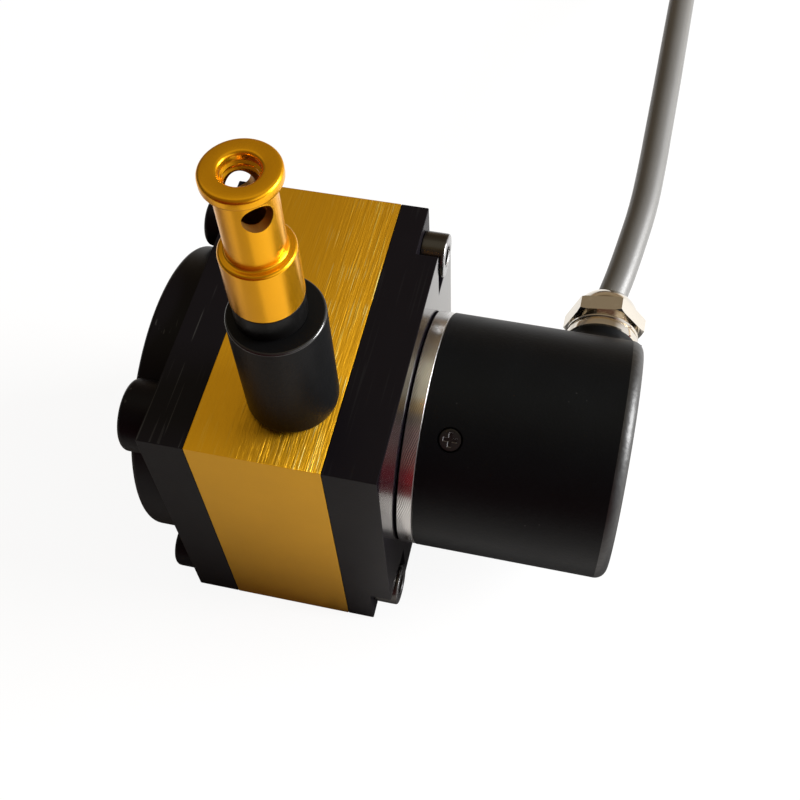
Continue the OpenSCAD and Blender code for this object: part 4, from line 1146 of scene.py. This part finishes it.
class DWE_OT_can(bpy.types.Operator):
    """Makes the matt black can with the boss under the gland, and its screws"""

    bl_idname = "dwe.can"
    bl_label = "Encoder can"

    def execute(self, context):
        s = context.scene.dwe_encoder
        r, wall, rim = s.can_radius / MM, s.can_wall / MM, s.rim / MM
        long = CAN_X1 - CAN_X0
        profile = [(0, 0), (r - 0.2, 0), (r, 0.2), (r, long - rim)]
        profile += arc((r - rim, long - rim), rim, 0, 90, 10)[1:] + [(0, long)]
        can = place(turned("can", profile, 160), (CAN_X0, 0, SHAFT_Z), "X")
        combine(can, [self.gland_boss(r)], "UNION")
        tools = [
            bar(r - wall, (CAN_X0 - 1, 0, SHAFT_Z), long - 1.5 + 1, "X", 160),
            bar(4.02, (GLAND_X, 0, SHAFT_Z), CAN_Y1 + 1, "Y", 64),
        ]
        for angle in CAN_SCREW_ANGLES:
            tools.append(radial(bar(1.95, (0, 0, r - 0.95), 3, sides=32), angle))
        combine(can, tools)
        coat = black_coating("Can coating", (0.0020, 0.0027, 0.0037), 2600.0, 0.44, (0.05, 0.05, 0.05))
        # The rim's rounding gets a lighter, glossier coat: partly rubbed paint, partly a painted highlight
        # of the window light on the rim.
        worn_highlit_black = (0.008, 0.0084, 0.009)
        worn_and_highlit = plain_skin("Rubbed can rim with painted highlight", worn_highlit_black, 0.44, 700.0, 0.0001, Specular_IOR_Level=0.7)
        finish_piece(can, "housing", [coat, worn_and_highlit], ["encoder_can"])
        foot = CAN_X1 - rim + 0.06

        def on_rim(c, n):
            outside = r - rim < math.hypot(c.y, c.z - SHAFT_Z) < r
            return c.x > foot and n.x < 0.97 and outside

        paint_faces(can, on_rim, 1)
        self.add_screws(r)
        return {"FINISHED"}

    def gland_boss(self, r):
        """The boss under the gland; its foot is a fillet laid on the round of the can."""
        wall, wide, high, top = 6.1, 3.9, 2.15, CAN_Y1
        steps = [math.radians(9 * k) for k in range(11)]
        rings = [(wall + wide * (1 - math.cos(t)), high * (1 - math.sin(t)) - 0.02) for t in steps]
        profile = [(0, top), (wall - 0.15, top), (wall, top - 0.15)]
        profile += [(radius, 30) for radius, _ in rings]
        profile += [(wall + wide, 12), (0, 12)]
        boss = place(turned("boss", profile, 128), (GLAND_X, 0, SHAFT_Z), "Y")
        skirt = boss.vertex_groups.new(name="skirt")
        skirt.add([v.index for v in boss.data.vertices if v.co.y > 29 * MM], 1, "REPLACE")
        guide = bar(r, (GLAND_X - 12, 0, SHAFT_Z), 24, "X", 720)
        wrap = boss.modifiers.new("Lay on", "SHRINKWRAP")
        wrap.target, wrap.wrap_method, wrap.vertex_group = guide, "PROJECT", "skirt"
        wrap.use_project_y, wrap.use_negative_direction, wrap.use_positive_direction = True, True, False
        apply_modifiers(boss)
        bpy.data.objects.remove(guide, do_unlink=True)
        take(boss)
        bpy.ops.object.mode_set(mode="EDIT")
        for radius, height in rings:
            bm = bmesh.from_edit_mesh(boss.data)
            for v in bm.verts:
                out = math.hypot(v.co.x / MM - GLAND_X, v.co.z / MM - SHAFT_Z)
                v.select_set(abs(out - radius) < 0.01 and 15 < v.co.y / MM < r + 0.1)
            bmesh.update_edit_mesh(boss.data)
            bpy.ops.transform.translate(value=(0, height * MM, 0))
        bpy.ops.object.mode_set(mode="OBJECT")
        combine(boss, [block("end", (CAN_X1 - 0.24, -30, -10), (60, 30, 60))])
        return boss

    def add_screws(self, r):
        steel = plain_skin("Black screw steel", (0.008, 0.008, 0.008), 0.22, Specular_IOR_Level=0.6)
        rubbed_and_highlit = bare_metal("Screw edges, rubbed and painted glints", (0.45, 0.45, 0.46), 0.25, (1500, 1500, 1500))
        made = []
        for angle in CAN_SCREW_ANGLES:
            profile = [(0, r - 4), (1.2, r - 4), (1.2, r - 0.9), (1.75, r - 0.9), (1.75, r - 0.35)]
            profile += arc((1.5, r - 0.35), 0.25, 0, 90, 3)[1:] + [(0, r - 0.1)]
            screw = turned("can_screw", profile, 40)
            for x, y in ((1.05, 0.27), (0.27, 1.05)):
                combine(screw, [block("slot", (-x, -y, r - 0.75), (x, y, r + 1))])
            # The bevelled edges of the head and the cross recess get bright steel: painted glints, with some
            # rubbed wear.
            edge = screw.modifiers.new("Rubbed edges with painted glints", "BEVEL")
            edge.width, edge.segments, edge.material, edge.angle_limit = 0.1 * MM, 1, 1, math.radians(40)
            screw.data.materials.append(steel)
            screw.data.materials.append(rubbed_and_highlit)
            apply_modifiers(screw)
            made.append(radial(screw, angle))
        screws = join("can_cap_screws", made)
        finish_piece(screws, "housing", [], ["can_screws"])


class DWE_OT_gland(bpy.types.Operator):
    """Makes the nickel plated gland: its body, its nut and its seal"""

    bl_idname = "dwe.gland"
    bl_label = "Cable gland"

    def execute(self, context):
        s = context.scene.dwe_encoder
        nickel = bare_metal("Nickel plating", tuple(s.nickel), 0.14, (600, 600, 600), 0.000004)
        bore, foot, top = CABLE_BORE_R, CAN_Y1, box_mm("gland_body")[1][1]
        profile = [(bore, foot - 6.5), (3.8, foot - 6.5), (4, foot - 6.3), (4, foot), (6.0, foot)]
        profile += [(6.2, foot + 0.2), (6.2, foot + 1.2)] + arc((5.9, foot + 1.2), 0.3, 0, 90, 3)[1:]
        profile += [(5.7, foot + 1.5), (5.7, foot + 1.85), (5.95, foot + 1.9), (6.1, foot + 2.05)]
        profile += [(6.1, foot + 2.3), (5.9, foot + 2.5), (4.4, foot + 2.5), (4.4, top - 0.1)]
        profile += [(4.3, top), (bore, top)]
        body = place(turned("gland_base", profile, 96), (GLAND_X, 0, SHAFT_Z), "Y")
        finish_piece(body, "housing", [nickel], ["gland_body"])
        self.add_nut(s, nickel)
        low, high = box_mm("gland_seal")
        y0, y1 = low[1], high[1]
        profile = [(2.62, y0), (4.38, y0), (4.38, y1 - 0.2), (4.2, y1), (2.8, y1), (2.62, y1 - 0.2)]
        seal = place(turned("gland_ring", profile, 64), (GLAND_X, 0, SHAFT_Z), "Y")
        rubber = plain_skin("Seal rubber", (0.02, 0.02, 0.02), 0.5)
        finish_piece(seal, "housing", [rubber], ["gland_seal"])
        return {"FINISHED"}

    def add_nut(self, s, nickel):
        """The hexagon with its chamfers, the dome over the seal, and the hollow inside."""
        y0, y1 = NUT_LOW[1], NUT_HIGH[1]
        flats = s.nut_flats / MM
        corner = flats / 2 / math.cos(math.pi / 6)
        hex_h, tall = 2.75, y1 - y0
        nut = bar(corner, (0, 0, 0), hex_h, sides=6, roll=math.radians(20))
        nut.name = "gland_cap"
        wide = corner + 0.25
        chamfer = [(0, 0), (corner - 0.45, 0), (wide, 0.4), (wide, hex_h - 0.3)]
        chamfer += [(corner - 0.3, hex_h), (0, hex_h)]
        combine(nut, [turned("chamfer", chamfer, 96)], "INTERSECT")
        base, crown = flats / 2 - 0.25, 3.1
        dome = [(0, hex_h - 0.4), (base, hex_h - 0.4), (base, hex_h + 0.05)]
        steps = 12
        for k in range(1, steps + 1):
            t = math.radians(30 + 60 * k / steps)
            rise = (math.sin(t) - 0.5) / 0.5
            out = math.cos(t) / math.cos(math.radians(30))
            dome.append((crown + (base - crown) * out, hex_h + 0.05 + (tall - hex_h - 0.05) * rise))
        dome += [(0, tall)]
        combine(nut, [turned("dome", dome, 96)], "UNION")
        bore = CABLE_BORE_R
        hollow = [(0, -1), (4.42, -1), (4.42, tall - 1.7), (bore, tall - 1.7), (bore, tall - 0.35)]
        hollow += [(3.1, tall + 0.1), (3.1, tall + 1), (0, tall + 1)]
        combine(nut, [turned("hollow", hollow, 64)])
        place(nut, (GLAND_X, y0, SHAFT_Z), "Y")
        finish_piece(nut, "housing", [nickel], ["gland_nut"], smooth=25)


class DWE_OT_inner_works(bpy.types.Operator):
    """Gives the parts inside the housing and the encoder their finishes"""

    bl_idname = "dwe.inner_works"
    bl_label = "Inner parts"

    def execute(self, context):
        steel = bare_metal("Ground steel", (0.55, 0.55, 0.56), 0.22, (900, 900, 900))
        bright = bare_metal("Bearing steel", (0.7, 0.7, 0.71), 0.12, (500, 500, 500))
        alloy = bare_metal("Inner aluminium", (0.72, 0.72, 0.72), 0.32, (2500, 700, 700))
        blued = bare_metal("Blued spring steel", (0.12, 0.14, 0.22), 0.3, (200, 3000, 3000))
        dark = bare_metal("Black inner screw", (0.06, 0.06, 0.06), 0.35, (900, 900, 900))
        wound = bare_metal("Wound wire", (0.6, 0.6, 0.6), 0.3, (5000, 5000, 5000))
        disc = bare_metal("Etched disc", (0.5, 0.53, 0.56), 0.2, (900, 900, 900))
        finishes = {
            alloy: ("bearing_carrier", "drum", "disc_hub"),
            bright: (
                "left_bearing", "left_bearing_inner", "front_bearing", "front_bearing_inner",
                "rear_bearing", "rear_bearing_inner",
            ),
            steel: (
                "corner_pins", "spring_anchor", "spring_arbor", "spring_shaft", "encoder_shaft",
                "board_posts", "board_screws",
            ),
            blued: ("mainspring",),
            dark: ("drum_grub_screws", "encoder_screws"),
            wound: ("wound_wire",),
            disc: ("code_disc",),
            plain_skin("Wiper felt", (0.62, 0.58, 0.48), 0.9, 5000.0, 0.00015): ("wire_wiper",),
            plain_skin("Guide ceramic", (0.85, 0.84, 0.8), 0.15): ("wire_guide",),
            plain_skin("Sensor plastic", (0.03, 0.03, 0.035), 0.4): ("sensor_head",),
            plain_skin("Board laminate", (0.03, 0.2, 0.07), 0.35): ("circuit_board",),
        }
        for material, nodes in finishes.items():
            for node in nodes:
                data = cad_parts[node].data
                data.materials.clear()
                data.materials.append(material)
        return {"FINISHED"}


class DWE_OT_stage(bpy.types.Operator):
    """Adds the floor, the soft lights and the pale surroundings"""

    bl_idname = "dwe.stage"
    bl_label = "Stage"

    def execute(self, context):
        s = context.scene.dwe_stage
        deselect()
        bpy.ops.mesh.primitive_plane_add(size=6, location=(0, 0, -0.00005))
        floor = named("floor")
        floor.data.materials.append(self.floor_material(tuple(s.floor)))
        self.add_window((0.82, 0.2, 0.31), (0.02, 0, 0.03), 0.4, s.window_power * 6.8)
        self.add_world()
        context.scene.view_settings.view_transform = "Standard"
        return {"FINISHED"}

    def floor_material(self, pale):
        """White to the camera; what the pieces mirror carries painted shadows in front of the block and
        under the can, painted brown and red room colours by place, and a painted glow behind.
        """
        m, tree, shader, where = new_material("Pale floor", Roughness=0.9, Specular_IOR_Level=0.1)
        sight = add(tree, "LightPath").outputs
        x, y, _ = split(tree, where)
        # Painted shadow: in reflections the floor in front of the block is greyer, and darker still close to
        # the block.
        near = fade(tree, y, -0.046, -0.024)
        in_front = times(tree, fade(tree, x, -0.055, -0.038), fade(tree, x, 0.018, 0.006))
        shaded = blend_colours(tree, near, shade(pale, 0.62), shade(pale, 0.27))
        painted_shadows_and_room = blend_colours(tree, in_front, pale, shaded)
        # Painted shadow: in reflections the floor under the can is dark.
        across = times(tree, fade(tree, x, 0.085, 0.07), math_node(tree, "GREATER_THAN", x, 0.006))
        along = times(tree, fade(tree, y, -0.032, -0.022), fade(tree, y, 0.03, 0.015))
        painted_shadows_and_room = blend_colours(tree, times(tree, across, along), painted_shadows_and_room, shade(pale, 0.16))
        # Painted reflections: far behind, the floor turns warm brown, and far in front dark red, as room
        # colours for the pieces to mirror.
        far = fade(tree, y, 0.15, 0.25)
        painted_shadows_and_room = blend_colours(tree, far, painted_shadows_and_room, (0.42, 0.33, 0.22))
        reflected_colours = blend_colours(tree, fade(tree, y, -0.125, -0.155), painted_shadows_and_room, (0.16, 0.014, 0.018))
        paint(tree, shader, blend_colours(tree, sight["Is Camera Ray"], reflected_colours, pale))
        # Painted light: behind the pieces the floor glows for glossy rays only, as a bright surface for the
        # pieces to mirror.
        glow = add(tree, "Emission", Color=(1, 1, 1, 1), Strength=1.06)
        fading = math_node(tree, "SUBTRACT", 0.66, times(tree, far, 0.66))
        glow_share = times(tree, fade(tree, y, 0.02, 0.06), fading)
        bounced = times(tree, sight["Is Glossy Ray"], glow_share)
        share = math_node(tree, "MAXIMUM", times(tree, sight["Is Camera Ray"], 0.86), bounced)
        mix = add(tree, "MixShader", i0=share, i1=shader.outputs[0], i2=glow.outputs[0])
        feed(tree, tree.nodes["Material Output"].inputs[0], mix.outputs[0])
        return m

    def add_window(self, at, towards, size, power):
        """The large soft light on the right."""
        deselect()
        bpy.ops.object.light_add(type="AREA", location=at)
        lamp = named("window")
        lamp.data.shape, lamp.data.size, lamp.data.energy = "SQUARE", size, power
        lamp.rotation_mode = "QUATERNION"
        lamp.rotation_quaternion = (Vector(towards) - Vector(at)).to_track_quat("-Z", "Y")

    def add_world(self):
        """Pale to the camera; in reflections a bright right side, a warm rear and a dark warm front."""
        world = bpy.data.worlds.new("Pale room")
        bpy.context.scene.world = world
        world.use_nodes = True
        tree = world.node_tree
        sight = add(tree, "LightPath").outputs
        x, y, z = split(tree, add(tree, "TexCoord").outputs["Generated"])
        # From the front, over the top, to the rear
        along = math_node(tree, "DIVIDE", math_node(tree, "ARCTAN2", z, times(tree, y, -1.0)), math.pi)
        red, rose = (0.19, 0.018, 0.022), (0.19, 0.12, 0.11)
        dusk, cream = (0.13, 0.105, 0.085), (0.48, 0.43, 0.32)
        bands = [
            (0.0, red), (0.07, red), (0.11, (0.16, 0.06, 0.05)), (0.18, (0.16, 0.07, 0.06)),
            (0.22, rose), (0.31, rose), (0.33, dusk), (0.385, dusk), (0.395, (0.26, 0.17, 0.07)),
            (0.455, (0.30, 0.22, 0.11)), (0.475, cream), (0.675, cream),
            (0.70, (0.25, 0.20, 0.135)), (0.78, (0.215, 0.17, 0.12)), (0.83, (0.25, 0.18, 0.11)),
            (0.9, (0.10, 0.075, 0.05)), (0.925, (0.27, 0.20, 0.12)), (1.0, (0.32, 0.26, 0.18)),
        ]
        room = ramp(tree, along, bands)
        high = fade(tree, z, 0.55, 0.75)
        window_side = blend_colours(tree, high, (0.88, 0.88, 0.89), (0.34, 0.32, 0.28))
        lit = blend_colours(tree, fade(tree, x, 0.35, 0.75), room, window_side)
        not_left = math_node(tree, "SUBTRACT", 1.0, fade(tree, x, -0.9, -0.5))
        dim = times(tree, fade(tree, z, 0.7, 0.5), not_left)
        lit = blend_colours(tree, dim, lit, (0.12, 0.11, 0.105))
        seen = blend_colours(tree, sight["Is Camera Ray"], lit, (1.0, 1.0, 1.0))
        back = tree.nodes["Background"]
        feed(tree, back.inputs["Color"], seen)
        back.inputs["Strength"].default_value = 1.0


class DWE_PT_panel(bpy.types.Panel):
    """Lists the steps and the sizes of the encoder"""

    bl_label = "Draw wire encoder"
    bl_idname = "DWE_PT_panel"
    bl_space_type = "VIEW_3D"
    bl_region_type = "UI"
    bl_category = "Encoder"

    def draw(self, context):
        for operator in STEPS:
            self.layout.operator(operator.bl_idname)
        for key in SETTINGS:
            group = getattr(context.scene, key)
            for name in group.bl_rna.properties.keys():
                if name not in ("rna_type", "name"):
                    self.layout.prop(group, name)


SETTINGS = {
    "dwe_housing": DWE_HousingSettings,
    "dwe_outlet": DWE_OutletSettings,
    "dwe_encoder": DWE_EncoderSettings,
    "dwe_cable": DWE_CableSettings,
    "dwe_stage": DWE_StageSettings,
}
STEPS = (
    DWE_OT_camera, DWE_OT_cable, DWE_OT_housing, DWE_OT_cover, DWE_OT_plate, DWE_OT_corner_screws,
    DWE_OT_outlet, DWE_OT_wire, DWE_OT_fitting, DWE_OT_flange, DWE_OT_can, DWE_OT_gland,
    DWE_OT_inner_works, DWE_OT_stage,
)


def register():
    for cls in (*SETTINGS.values(), *STEPS, DWE_PT_panel):
        bpy.utils.register_class(cls)
    for name, cls in SETTINGS.items():
        setattr(bpy.types.Scene, name, PointerProperty(type=cls))


def unregister():
    for name in SETTINGS:
        delattr(bpy.types.Scene, name)
    for cls in reversed((*SETTINGS.values(), *STEPS, DWE_PT_panel)):
        bpy.utils.unregister_class(cls)


def main():
    """Builds everything in order."""
    register()
    for operator in STEPS:
        group, name = operator.bl_idname.split(".")
        getattr(getattr(bpy.ops, group), name)()
    deselect()


if __name__ == "__main__":
    main()
